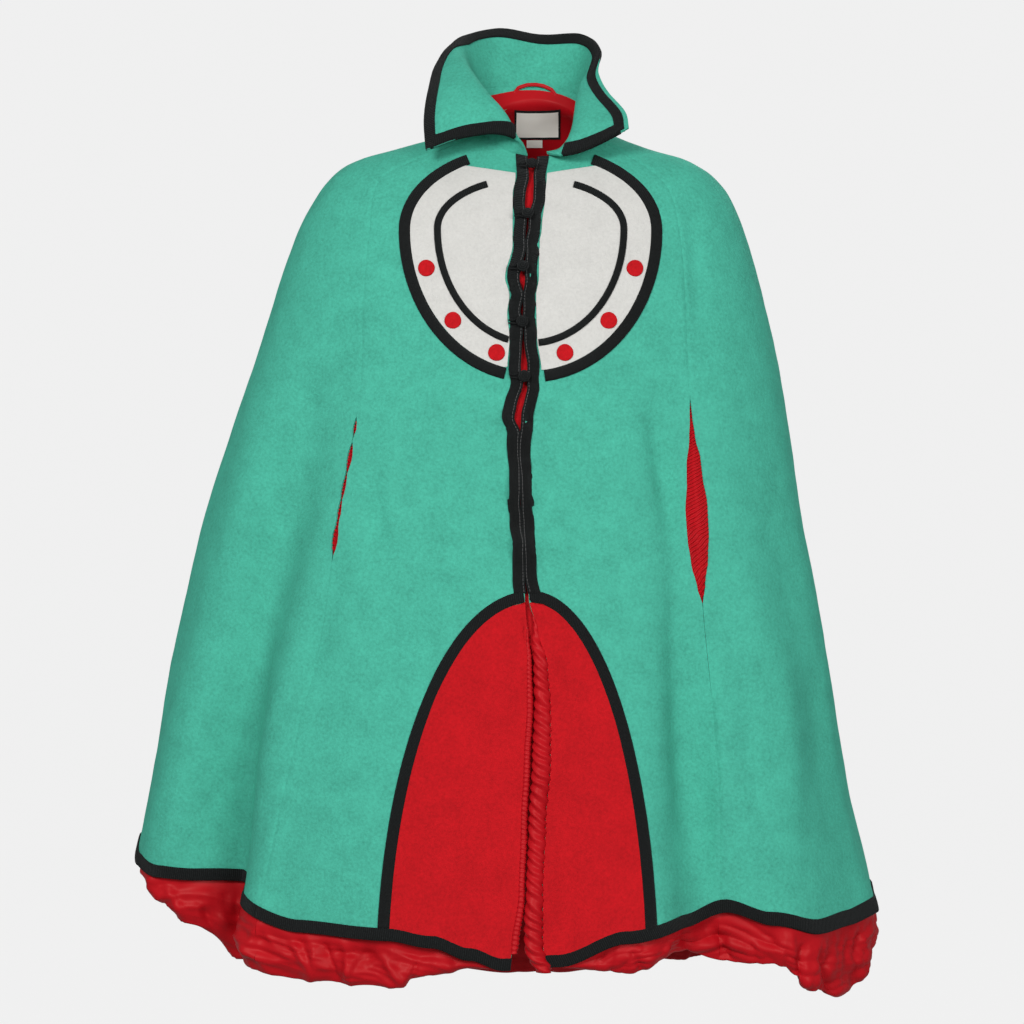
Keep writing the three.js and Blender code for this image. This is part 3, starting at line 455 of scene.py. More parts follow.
def grid_bmesh(points, flip=False, lengths=None):
    """A sheet through a grid of points in millimetres."""
    rows, across = points.shape[:2]
    bm = bmesh.new()
    bmesh.ops.create_grid(bm, x_segments=across - 1, y_segments=rows - 1, size=1)
    for vert, place in zip(bm.verts, (points.reshape(-1, 3) * MM).tolist()):
        vert.co = place
    lengths = (texture_lengths(points) if lengths is None else lengths).reshape(-1, 2).tolist()
    layer = bm.loops.layers.uv.new("UVMap")
    bm.verts.index_update()
    for face in bm.faces:
        for loop in face.loops:
            loop[layer].uv = lengths[loop.vert.index]
    if flip:
        bmesh.ops.reverse_faces(bm, faces=bm.faces)
    return bm


def from_axis(points):
    """Directions away from the cape's upright axis."""
    return unit(points * np.array([1, 1, 0]))


FORWARD = np.array([0.0, -1.0, 0.0])


def turned_to(normals, direction):
    """A grid's normals, turned round together if they look away from a direction."""
    return normals * (-1 if (normals * direction).sum() < 0 else 1)


def sheet_piece(name, points, material, thickness, nodes=(), out=None, soften=0.0, lengths=None):
    """A sheet of cloth through a grid of points, with its thickness on the side away from out."""
    out = from_axis(points) if out is None else out
    flip = (grid_normals(points) * out).sum() > 0
    bm = grid_bmesh(points, flip, lengths)
    for edge in bm.edges:
        edge.smooth = bool(soften) or not edge.is_boundary
    piece = new_piece(name, bm, material, nodes)
    solid = piece.modifiers.new("Thickness", "SOLIDIFY")
    solid.thickness = thickness * MM
    solid.offset = -1
    if soften:
        bevel = piece.modifiers.new("Soft edge", "BEVEL")
        bevel.width = soften * MM
        bevel.segments = 2
        bevel.limit_method = "ANGLE"
        bevel.angle_limit = math.radians(60)
    return piece


def closed_bmesh(rings):
    """A closed skin over rings of points, with filled ends."""
    bm = grid_bmesh(np.concatenate([rings, rings[:, :1]], axis=1))
    bmesh.ops.remove_doubles(bm, verts=bm.verts, dist=1e-7)
    bmesh.ops.holes_fill(bm, edges=[edge for edge in bm.edges if edge.is_boundary], sides=0)
    bmesh.ops.recalc_face_normals(bm, faces=bm.faces)
    return bm


def loft_piece(name, rings, material, nodes=()):
    """One piece made of a closed loft."""
    return new_piece(name, closed_bmesh(rings), material, nodes)


def joined(name, grids, material, nodes=()):
    """One piece made of many small closed lofts."""
    whole = bmesh.new()
    for rings in grids:
        bm = closed_bmesh(rings)
        part = bpy.data.meshes.new("part")
        bm.to_mesh(part)
        bm.free()
        whole.from_mesh(part)
        bpy.data.meshes.remove(part)
    return new_piece(name, whole, material, nodes)


# What a cutter adds to the plain form for gathers, as a share of its length.
POUCH_FULLNESS = 1.15
FACING_FULLNESS = 1.6
# What a braid takes from a bib on each side.
BRAID_ROOM = 12


def form_cut(rows):
    """Width, length and area of a plain form laid flat, from coarse rows of places in millimetres."""
    across = np.linalg.norm(np.diff(rows, axis=1), axis=-1).sum(axis=1)
    down = np.linalg.norm(np.diff(rows, axis=0), axis=-1).sum(axis=0)
    facets = np.cross(rows[1:, 1:] - rows[:-1, :-1], rows[1:, :-1] - rows[:-1, 1:])
    return across.max(), down.max(), np.linalg.norm(facets, axis=-1).sum() / 2


def panel_cut(name):
    """A wool panel's cut: its plain form between the rings, without any creases."""
    v = np.arange(HEM + 1.0)
    first, last = panel_limits(name, v, 0.0)
    return form_cut(cape(first[:, None] + (last - first)[:, None] * np.linspace(0, 1, 13), v[:, None]))


def lining_cut(name):
    """A lining panel's cut: the wool's, and cloth for the pouch that hangs down and comes up again."""
    width, length, area = panel_cut(name)
    first, last = (float(limit[0]) for limit in panel_limits(name, np.array([float(HEM)]), 0.0))
    turn = np.linspace(first, last, 60)
    drop = eased(HEM_LINE, "angle", "drop", wrapped(np.degrees(turn)))
    hem = np.abs(last - first) * span(turn, np.full(60, float(HEM))).mean()
    return width, length + 2 * drop.max() * POUCH_FULLNESS, area + 2 * drop.mean() * hem * POUCH_FULLNESS


def collar_cut(low, high):
    """The cut of the collar's stand or leaf: its plain form between two shares of its height."""
    return form_cut(collar_point(np.arange(13.0)[None, :], np.linspace(low, high, 4)[:, None]))


def bib_cut():
    """A bib's cut: two quarter ellipses, the upper one ended at the collar, less the edge's braid."""
    wide = BIB_WIDTH - 2 * BRAID_ROOM
    upper = BIB_TOP - BIB_Z
    level = upper / BIB_ABOVE
    part = (level * math.sqrt(1 - level * level) + math.asin(level)) / 2
    return wide, BIB_BELOW + upper, wide * (BIB_BELOW * math.pi / 4 + BIB_ABOVE * part)


def corner_cut(side):
    """A corner patch's cut: a quarter of an ellipse down to the hem's braid."""
    tall = CORNER_TOP - RINGS["zFront"][-1]
    return CORNER_WIDTH[side], tall, CORNER_WIDTH[side] * tall * math.pi / 4


def facing_cut(reach, long):
    """A slit facing's cut: its reach from the seam down the slit, with fullness for its gathers."""
    wide = reach + 0.5
    return wide.max(), long * FACING_FULLNESS, wide.mean() * long * FACING_FULLNESS


# A braid's section: place across from -1 to 1, and height as a share of its rise.
BRAID_SECTION = columns(
    "across height",
    (-1, 0.1), (-1, 0.55), (-0.9, 0.85), (-0.55, 1), (0, 1.04), (0.55, 1), (0.9, 0.85), (1, 0.55), (1, 0.1),
)


def braid_rings(points, normals, rise, clear=0.1, wrap=(0, 0)):
    """Rings of a braid's section from a grid whose columns lie across it; it may wrap over either edge."""
    across = BRAID_SECTION["across"]
    place = (across + 1) / 2 * (points.shape[1] - 1)
    k = np.clip(place.astype(int), 0, points.shape[1] - 2)
    t = (place - k)[None, :, None]
    base = points[:, k] * (1 - t) + points[:, k + 1] * t
    out = unit(normals[:, k] * (1 - t) + normals[:, k + 1] * t)
    fuzz = 0.2 * ripple(base, 2.6, 1.3)[..., None]
    height = rise * BRAID_SECTION["height"]
    height[0] -= wrap[0]
    height[-1] -= wrap[1]
    return base + out * (clear + height[None, :, None] + fuzz)


# Materials

def node(material, kind, settings=None, **inputs):
    """A shader node, with its inputs linked or set."""
    made = material.node_tree.nodes.new(kind)
    for key, value in (settings or {}).items():
        setattr(made, key, value)
    for key, value in inputs.items():
        socket = made.inputs[int(key[2:])] if key.startswith("at") else made.inputs[key.replace("_", " ")]
        if isinstance(value, bpy.types.NodeSocket):
            material.node_tree.links.new(value, socket)
        else:
            socket.default_value = value
    return made


def maths(material, operation, *values):
    """A maths node's result."""
    inputs = {f"at{place}": value for place, value in enumerate(values)}
    return node(material, "ShaderNodeMath", {"operation": operation}, **inputs).outputs[0]


def ramp(material, factor, *stops):
    """Colours blended along a factor; each stop is a place and a colour."""
    made = node(material, "ShaderNodeValToRGB", Fac=factor)
    elements = made.color_ramp.elements
    while len(elements) < len(stops):
        elements.new(1)
    for element, (place, colour) in zip(elements, stops):
        element.position = place
        element.color = (*colour[:3], 1)
    return made.outputs["Color"]


def noise_at(material, vector, scale, detail=4.0, roughness=0.6):
    """A noise texture's value."""
    return node(material, "ShaderNodeTexNoise", Vector=vector, Scale=scale, Detail=detail,
                Roughness=roughness).outputs["Fac"]


def stretched(material, vector, x, y, z):
    """Coordinates scaled by axis."""
    return node(material, "ShaderNodeVectorMath", {"operation": "MULTIPLY"}, at0=vector,
                at1=(x, y, z)).outputs["Vector"]


def shaded(colour, share):
    """A colour made darker or lighter by a share."""
    return tuple(min(1.0, part * share) for part in colour[:3])


def begin(name, **values):
    """A new material with its shader's fixed values set."""
    material = bpy.data.materials.new(name)
    material.use_nodes = True
    shader = material.node_tree.nodes["Principled BSDF"]
    for key, value in values.items():
        shader.inputs[key.replace("_", " ")].default_value = value
    coordinates = node(material, "ShaderNodeTexCoord")
    return material, shader, coordinates


def finish_material(material, shader, colour, height, strength, distance):
    """Links a material's colour and its bump."""
    links = material.node_tree.links
    bump = node(material, "ShaderNodeBump", Height=height, Strength=strength, Distance=distance)
    links.new(colour, shader.inputs["Base Color"])
    links.new(bump.outputs["Normal"], shader.inputs["Normal"])
    return material


def felt_material(name, colour, depth=0.26, sheen=0.25, mottle=0.65):
    """Felted wool: soft cloudy colour, fine matted fibres and a short nap."""
    material, shader, coordinates = begin(
        name, Roughness=0.94, Sheen_Weight=sheen, Sheen_Roughness=0.55, Specular_IOR_Level=0.18,
        Sheen_Tint=(*shaded(colour, 1.4), 1))
    place = coordinates.outputs["Object"]
    cloud = noise_at(material, place, 40, 4)
    fibre = noise_at(material, place, 320, 6, 0.72)
    hair = noise_at(material, stretched(material, place, 1, 1, 0.35), 1200, 3, 0.6)
    blend = maths(material, "MULTIPLY_ADD", fibre, mottle, maths(material, "MULTIPLY", cloud, 1 - mottle))
    tone = ramp(material, blend, (0.3, shaded(colour, 1 - depth)), (0.5, colour), (0.72, shaded(colour, 1 + depth)))
    height = maths(material, "ADD", fibre, maths(material, "MULTIPLY", hair, 0.6))
    return finish_material(material, shader, tone, height, 0.7, 0.0012)


def braid_material(name, colour, pitch=0.0021):
    """Knitted wool braid with fine ribs across it and a fuzzy surface."""
    material, shader, coordinates = begin(
        name, Roughness=0.9, Sheen_Weight=0.1, Sheen_Roughness=0.5, Specular_IOR_Level=0.15,
        Sheen_Tint=(0.3, 0.32, 0.32, 1))
    place = coordinates.outputs["Object"]
    parts = node(material, "ShaderNodeSeparateXYZ", Vector=coordinates.outputs["UV"])
    fuzz = noise_at(material, place, 700, 5, 0.7)
    wobble = maths(material, "MULTIPLY", noise_at(material, place, 180, 2), 2.4)
    phase = maths(material, "ADD", maths(material, "MULTIPLY", parts.outputs["Y"], 2 * math.pi / pitch), wobble)
    rib_and_highlight = maths(material, "SINE", phase)
    height = maths(material, "ADD", maths(material, "MULTIPLY", rib_and_highlight, 0.5), fuzz)
    # Colour from the ribs and the fuzz: painted highlights on the rib crests and painted shade in the troughs, over the
    # fuzz's own random tone.
    tone = ramp(material, maths(material, "MULTIPLY_ADD", rib_and_highlight, 0.16, fuzz), (0.0, shaded(colour, 0.4)),
                (0.5, colour), (1.0, shaded(colour, 3.6)))
    return finish_material(material, shader, tone, height, 0.9, 0.001)


def satin_material(name, colour, roughness=0.45):
    """Closely woven satin with a soft gloss."""
    material, shader, coordinates = begin(
        name, Roughness=roughness, Specular_IOR_Level=0.22, Specular_Tint=(1, 0.5, 0.45, 1),
        Sheen_Weight=0.12, Sheen_Roughness=0.4, Sheen_Tint=(*shaded(colour, 1.6), 1))
    place = coordinates.outputs["Object"]
    cloud = noise_at(material, place, 30, 2)
    weave = noise_at(material, stretched(material, coordinates.outputs["UV"], 1, 0.16, 1), 2600, 2, 0.5)
    blend = maths(material, "MULTIPLY_ADD", weave, 0.35, maths(material, "MULTIPLY", cloud, 0.65))
    tone = ramp(material, blend, (0.2, shaded(colour, 0.86)), (0.8, shaded(colour, 1.12)))
    return finish_material(material, shader, tone, weave, 0.12, 0.0002)


def label_material(name, colour, border, size, edge):
    """A bare woven label with a dark woven border, laid out from the middle of its top edge."""
    width, height = size[0] * MM, size[1] * MM
    material, shader, coordinates = begin(name, Roughness=0.75, Specular_IOR_Level=0.3)
    parts = node(material, "ShaderNodeSeparateXYZ", Vector=coordinates.outputs["UV"])
    beside = maths(material, "SUBTRACT", width / 2, maths(material, "ABSOLUTE", parts.outputs["X"]))
    above = maths(material, "MINIMUM", parts.outputs["Y"], maths(material, "SUBTRACT", height, parts.outputs["Y"]))
    inside = maths(material, "GREATER_THAN", maths(material, "MINIMUM", beside, above), edge * MM)
    weft = maths(material, "SINE", maths(material, "MULTIPLY", parts.outputs["Y"], 2 * math.pi / 0.0006))
    warp = maths(material, "SINE", maths(material, "MULTIPLY", parts.outputs["X"], 2 * math.pi / 0.0008))
    weave = maths(material, "MULTIPLY", weft, warp)
    speck = noise_at(material, coordinates.outputs["Object"], 900, 3)
    cloth = maths(material, "MULTIPLY", inside, maths(material, "MULTIPLY_ADD", speck, 0.3, 0.62))
    tone = ramp(material, cloth, (0.0, border), (0.5, border), (0.62, shaded(colour, 0.92)), (1.0, colour))
    return finish_material(material, shader, tone, weave, 0.25, 0.0002)


MADE = {}


def material(name):
    """A finished material by its plain name."""
    if name in MADE:
        return MADE[name]
    held = bpy.context.scene.cape_colours
    tone = {key: tuple(getattr(held, key)) for key in held.__annotations__}
    build = {
        "green": lambda: felt_material("Green wool", tone["green"]),
        "white": lambda: felt_material("White felt", tone["white"], 0.1, 0.15),
        "red": lambda: felt_material("Red felt", tone["red"], 0.25, 0.08),
        "black": lambda: braid_material("Black braid", tone["black"]),
        "satin": lambda: satin_material("Red satin", tone["satin"]),
        "thread": lambda: felt_material("Grey thread", tone["thread"], 0.3, 0.1),
        "label": lambda: label_material("Neck label", tone["label"], tone["black"], LABEL, 2.1),
        "tab": lambda: label_material("Size tab", tone["label"], tone["label"], TAB, 0),
    }
    MADE[name] = build[name]()
    return MADE[name]


def thickness(name, description, default):
    """A size of the cape that can be set in metres."""
    return bpy.props.FloatProperty(name=name, description=description, default=default, unit="LENGTH")


def tint(name, description, default):
    """A colour of the cape that can be set."""
    return bpy.props.FloatVectorProperty(
        name=name, description=description, subtype="COLOR", default=default, min=0, max=1)


class CapeSizes(bpy.types.PropertyGroup):
    """Sizes of the cape's cloth and trim"""
    wool: thickness("Wool", "Thickness of the body's wool", 0.0024)
    collar_wool: thickness("Collar wool", "Thickness of the collar", 0.003)
    satin: thickness("Satin", "Thickness of the lining", 0.0008)
    felt: thickness("Felt", "Thickness of the appliques", 0.0012)
    braid_width: thickness("Braid width", "Width of the black braid", 0.0115)
    braid_rise: thickness("Braid rise", "Height of the black braid", 0.0018)
    stitch: thickness("Stitch", "Pitch of the stitches on the front braids", 0.0036)


class CapeColours(bpy.types.PropertyGroup):
    """Colours of the cape's materials"""
    green: tint("Green", "Mint wool", (0.058, 0.375, 0.272))
    black: tint("Black", "Black braid", (0.006, 0.007, 0.007))
    white: tint("White", "White felt", (0.55, 0.545, 0.52))
    red: tint("Red", "Red felt", (0.44, 0.005, 0.009))
    satin: tint("Satin", "Red satin", (0.40, 0.005, 0.010))
    label: tint("Label", "Off-white label", (0.95, 0.94, 0.86))
    thread: tint("Thread", "Grey sewing thread", (0.1, 0.1, 0.1))


def sizes():
    """The scene's cape sizes in millimetres."""
    held = bpy.context.scene.cape_sizes
    return {key: getattr(held, key) / MM for key in held.__annotations__}


# The cape's pieces

# Grids of points by piece, sheets with their cuts, and search trees by side.
BODY, CLOTHS, TREES = {}, [], {}


def make_panels():
    """The five wool panels, their edges drawn in at the seams."""
    v = np.linspace(0, HEM, 161)
    for name, count in PANELS.items():
        first, last = panel_limits(name, v, 0.0)
        theta = fan(first, last, v, count)
        points = cape(theta, v[:, None])
        across = np.zeros(theta.shape)
        across[:, 1:] = np.cumsum(np.linalg.norm(np.diff(points, axis=1), axis=-1), axis=1)
        height = wool_relief(points)
        for edge, away in (("first", across), ("last", across[:, -1:] - across)):
            if edge == "first" and name.startswith("front"):
                continue
            draw = np.ones(len(v))
            if (edge == "last") == name.startswith("front") and name != "back":
                side = name.split("_")[1]
                draw = 1 - ease((v - SLIT_FROM + 0.15) / 0.2) * ease((SLIT_TO[side] + 0.15 - v) / 0.2)
            dip = 0.35 * np.exp(-((away - 5) / 3) ** 2) - 0.35 * np.exp(-(away / 1.5) ** 2)
            height = height + dip * draw[:, None]
        points = points + outward(theta, v[:, None]) * height[..., None]
        BODY[name] = points
        piece = sheet_piece(name + "_wool", points, material("green"), sizes()["wool"], [name])
        CLOTHS.append((piece, panel_cut(name), "hung", ["collar_stand_wool"]))


def grid_tree(points):
    """A search tree over a grid of points."""
    rows, across = points.shape[:2]
    corner = np.arange(rows * across).reshape(rows, across)
    quads = np.stack([corner[:-1, :-1], corner[:-1, 1:], corner[1:, 1:], corner[1:, :-1]], axis=-1)
    return BVHTree.FromPolygons(points.reshape(-1, 3).tolist(), quads.reshape(-1, 4).tolist())


def seen_on(tree, x, z, start, beyond):
    """Places met at X and Z by looking back from a Y, or else those nearest to the other Y."""
    places = []
    for px, pz in zip(x.ravel().tolist(), z.ravel().tolist()):
        hit = tree.ray_cast(Vector((px, start, pz)), Vector((0, 1, 0)))[0]
        if hit is None:
            hit = tree.find_nearest(Vector((px, beyond, pz)))[0]
        places.append(hit[:])
    return np.array(places).reshape(*x.shape, 3)


def onto_front(side, x, z):
    """Places on a front panel that are seen at X and Z from the front."""
    if side not in TREES:
        TREES[side] = grid_tree(BODY["front_" + side])
    return seen_on(TREES[side], x, z, -500, -150)


def facing_normals(points):
    """Normals of a grid that faces forward."""
    return turned_to(grid_normals(points), FORWARD)


def ribbon_on_front(side, line, width, count):
    """A braid's grid on a front panel, along a line of X and Z."""
    along = run_along(line)
    even = np.linspace(0, along[-1], max(3, int(along[-1] / 2)))
    x, z = np.interp(even, along, line[:, 0]), np.interp(even, along, line[:, 1])
    tangent = np.stack([np.gradient(x), np.gradient(z)], axis=-1)
    tangent /= np.linalg.norm(tangent, axis=1, keepdims=True)
    offset = np.linspace(-width / 2, width / 2, count)
    grid_x = x[:, None] - tangent[:, 1:2] * offset
    grid_z = z[:, None] + tangent[:, 0:1] * offset
    return onto_front(side, grid_x, grid_z)


def laid_braid(name, side, line, wide, node_name, clear=0.1):
    """A braid laid on a front panel along a line of X and Z."""
    grid = ribbon_on_front(side, line, wide, 7)
    rings = braid_rings(grid, facing_normals(grid), sizes()["braid_rise"], clear)
    loft_piece(name, rings, material("black"), [node_name])


def egg(sign, inside, start, end, count=90):
    """The bib's outline, some millimetres inside its edge."""
    angle = np.radians(np.linspace(start, end, count))
    tall = np.where(angle < 0, BIB_ABOVE, BIB_BELOW) - inside
    return np.stack([sign * (BIB_WIDTH - inside) * np.cos(angle), BIB_Z - tall * np.sin(angle)], axis=-1)


def front_edge_at(side, height):
    """The X and Y of a front panel's edge at a height or at several."""
    column = BODY["front_" + side][:, 0]
    order = np.argsort(column[:, 2])
    return tuple(np.interp(height, column[order, 2], column[order, k]) for k in (0, 1))


def front_edge_x(side, height):
    """The X of a front panel's edge at a height or at several."""
    return front_edge_at(side, height)[0]


def end_at_braid(side, sign, line, beyond=12.3):
    """The part of a line that lies beyond the front edge's braid."""
    keep = sign * (line[:, 0] - front_edge_x(side, line[:, 1])) > beyond
    last = len(keep) - np.argmax(keep[::-1])
    return line[:last]


def make_bibs():
    """The white bibs with their black outline, inner line and red spots."""
    size = sizes()
    wide, felt = size["braid_width"], size["felt"]
    for side, sign in SIDES:
        outer = end_at_braid(side, sign, egg(sign, wide + 0.2, -57, 100))
        z = np.linspace(BIB_TOP, outer[-1, 1], len(outer))
        inner = np.stack([front_edge_x(side, z) + sign * 12.2, z], axis=-1)
        share = np.linspace(0, 1, 48)[None, :, None]
        flat = inner[:, None] * (1 - share) + outer[:, None] * share
        points = onto_front(side, flat[..., 0], flat[..., 1])
        normals = facing_normals(points)
        points = points + normals * (felt + 0.15)
        piece = sheet_piece(f"bib_{side}_felt", points, material("white"), felt, [f"bib_{side}"],
                            out=FORWARD, soften=0.3)
        CLOTHS.append((piece, bib_cut(), "laid", [f"front_{side}_wool"]))
        line = end_at_braid(side, sign, egg(sign, wide / 2, -60, 100))
        laid_braid(f"bib_{side}_edge_braid", side, line, wide, f"bib_braid_{side}")
        line = end_at_braid(side, sign, egg(sign, BIB_LINE_INSIDE + BIB_LINE_WIDTH / 2, -62, 100))
        laid_braid(f"bib_{side}_inner_braid", side, line, BIB_LINE_WIDTH, f"bib_line_{side}", felt + 0.2)
        for n in range(3):
            angle = math.radians(SPOT_FIRST + (SPOT_LAST - SPOT_FIRST) * n / 2)
            reach = wide + SPOT_INSIDE / 2 + 1.5
            centre = (sign * (BIB_WIDTH - reach) * math.cos(angle), BIB_Z - (BIB_BELOW - reach) * math.sin(angle))
            felt_spot(f"spot_{side}_{n + 1}", side, centre, felt)


def felt_spot(node_name, side, centre, felt):
    """A round felt spot with a soft cut edge."""
    turn = np.linspace(0, 2 * np.pi, 49)[:-1]
    radius = np.array([0.3, 2, 4, 6, 7.4, 8.1, SPOT_RADIUS, SPOT_RADIUS])[:, None]
    wobble = 1 + 0.012 * np.sin(3 * turn + centre[0])
    x, z = centre[0] + radius * wobble * np.cos(turn), centre[1] + radius * wobble * np.sin(turn)
    points = onto_front(side, x, z)
    normal = unit(facing_normals(points)[:6].mean(axis=(0, 1)))
    height = np.array([1.15, 1.15, 1.13, 1.1, 1.05, 0.95, 0.7, 0])[:, None, None] * felt
    rings = points + normal * (felt + 0.25 + height)
    loft_piece(node_name + "_felt", rings, material("red"), [node_name])


def make_corners():
    """The red patches at the front corners, and the braid round them."""
    size = sizes()
    wide, felt = size["braid_width"], size["felt"]
    for side, sign in SIDES:
        hem = BODY[f"front_{side}"][-1]
        order = np.argsort(hem[:, 0])
        tall = CORNER_TOP - hem[0, 2]

        def above_hem(x):
            return np.interp(x, hem[order, 0], hem[order, 2]) + wide - 3.4

        def arch_x(z, outside):
            level = np.clip((z - CORNER_TOP + tall) / (tall + outside), -1, 1)
            return sign * (CORNER_WIDTH[side] + outside) * np.sqrt(1 - level * level)

        across, down = np.meshgrid(np.linspace(0, 1, 70), np.linspace(0, 1, 110))
        low_x = hem[0, 0] + (sign * CORNER_WIDTH[side] - hem[0, 0]) * across
        z = CORNER_TOP - 0.3 + (above_hem(low_x) - CORNER_TOP + 0.3) * down
        edge = front_edge_x(side, z) + sign * 0.1
        x = edge + (np.where(sign * arch_x(z, -0.3) > sign * edge, arch_x(z, -0.3), edge + sign * 0.2) - edge) * across
        points = onto_front(side, x, z)
        points = points + facing_normals(points) * (felt + 0.15)
        piece = sheet_piece(f"corner_{side}_felt", points, material("red"), felt, [f"corner_patch_{side}"],
                            out=FORWARD)
        CLOTHS.append((piece, corner_cut(side), "laid", [f"front_{side}_wool"]))
        angle = np.radians(np.linspace(-97, 12, 90))
        line = np.stack([sign * (CORNER_WIDTH[side] + wide / 2) * np.cos(angle),
                         CORNER_TOP - tall - (tall + wide / 2) * np.sin(angle)], axis=-1)
        beside = sign * (line[:, 0] - front_edge_x(side, line[:, 1]))
        line = line[(line[:, 1] > above_hem(line[:, 0]) - 4) & (beside > -0.9)]
        laid_braid(f"corner_{side}_edge_braid", side, line, wide, f"corner_braid_{side}")


def make_hem_braids():
    """The braid along the hem of each panel."""
    rise = sizes()["braid_rise"]
    v = np.linspace(HEM - 0.2, HEM, 9)
    for name in PANELS:
        first, last = panel_limits(name, v, 0.0)
        if name.startswith("front"):
            first = first - np.sign(last - first) * 0.8 / span(first, v)
        long = float(np.abs(last - first).mean() * span((first + last) / 2, v).mean())
        share = np.linspace(0, 1, int(long / 2.2))
        theta = first[:, None] + (last - first)[:, None] * share
        points = wool(theta, v[:, None])
        normals = turned_to(grid_normals(points), outward(theta, v[:, None]))
        points[-1, :, 2] -= 0.7
        rings = braid_rings(points.transpose(1, 0, 2), normals.transpose(1, 0, 2), rise, wrap=(0, 2.6))
        loft_piece(f"hem_{name}_braid", rings, material("black"), [f"hem_braid_{name}"])


def make_front_braids():
    """The rippled braid along each front edge, and the grey stitches near its edge."""
    size = sizes()
    for side, sign in SIDES:
        v = np.linspace(0.05, HEM, 640)
        level = cape(angle_at_x(edge_x(side, v), v), v)[:, 2]
        v = v[level > CORNER_TOP + size["braid_width"] - 4]
        level = ring("zFront", v)
        ruffle, swing = (ripple(np.stack([level, 0 * v + place * sign, 0 * v], axis=-1), long, place)
                         for place, long in ((40.0, 13), (90.0, 20)))
        away = np.linspace(-1.3, size["braid_width"] - 0.5, 7) + (1.8 * swing * ease((v - 0.4) / 0.5))[:, None]
        theta = angle_at_x(edge_x(side, v)[:, None] + sign * away, v[:, None])
        points = wool(theta, v[:, None])
        normals = facing_normals(points)
        points = points + normals * (2.6 * np.clip(ruffle, 0, 1) * ease((v - 0.4) / 0.5))[:, None, None]
        normals = facing_normals(points)
        rings = braid_rings(points, normals, size["braid_rise"], wrap=(3.4, 1.6))
        loft_piece(f"front_{side}_edge_braid", rings, material("black"), [f"front_braid_{side}"])
        stitch_line(f"front_{side}_stitches", points[:, 1], normals[:, 1], size["braid_rise"], size["stitch"])


def stitch_line(name, line, normals, rise, pitch):
    """A row of short stitches that sink into the braid at both ends."""
    along = run_along(line)
    stitches = []
    for start in np.arange(1, along[-1] - pitch, pitch):
        t = np.linspace(start, start + 0.72 * pitch, 5)
        middle = np.stack([np.interp(t, along, line[:, k]) for k in range(3)], axis=-1)
        out = unit(np.stack([np.interp(t, along, normals[:, k]) for k in range(3)], axis=-1))
        across = unit(np.cross(out, np.gradient(middle, axis=0)))
        arch = np.array([-0.25, 0.12, 0.2, 0.12, -0.25])[:, None]
        middle = middle + out * (rise + 0.1 + arch)
        turn = np.linspace(0, 2 * np.pi, 7)[:-1]
        rings = (middle[:, None] + 0.3 * (np.cos(turn)[None, :, None] * across[:, None]
                                          + 0.8 * np.sin(turn)[None, :, None] * out[:, None]))
        stitches.append(rings)
    joined(name, stitches, material("thread"))


# The lining's rows on the collar's stand, and how deep it stands back from an arm slit.
STAND_ROWS = 8
LINING_BACK, LINING_PART = 1.4, 0.6


def lining_rows():
    """The lining's rows, close together in the pouch: ring, share of the drop and inset."""
    at = np.concatenate([
        np.zeros(STAND_ROWS), np.linspace(0, 8.4, 24)[:-1], np.linspace(8.4, 10.6, 16)[:-1], np.linspace(10.6, 14, 56)])
    return {key: smooth(LINING, key, at) for key in LINING}


def pouch_relief(theta, below):
    """The crumpled folds of the hanging lining, in millimetres, alike on both sides of each seam."""
    def around(turn, wide, height, seed):
        return np.stack([360 * np.cos(turn) / wide, 360 * np.sin(turn) / wide, height + seed], axis=-1)
    lean = 1.2 * ripple(around(theta, 130, below / 400, 17.3), 1.0)
    warp = ripple(around(theta, 60, below / 60, 2.2), 1.0)
    folds = 0
    for wide, tall, rise, seed in (
            (62, 120, 4.6, 4.4), (34, 44, 2.4, 12.9), (95, 17, 2.2, 31.7), (15, 34, 1.3, 21.3), (42, 8, 0.8, 9.9)):
        turn = theta + (lean * below + 0.4 * wide * warp) / 360
        place = around(turn, wide, (below + 12 * warp) / tall, seed)
        folds = folds + rise * (0.75 - 3.2 * np.abs(ripple(place, 1.0)))
    return folds


def lining_out(points):
    """The lining's outer side: away from the axis, and turned over where the pouch comes up again."""
    return from_axis(points) * (np.linspace(0, 1, len(points)) < 0.7)[:, None, None]


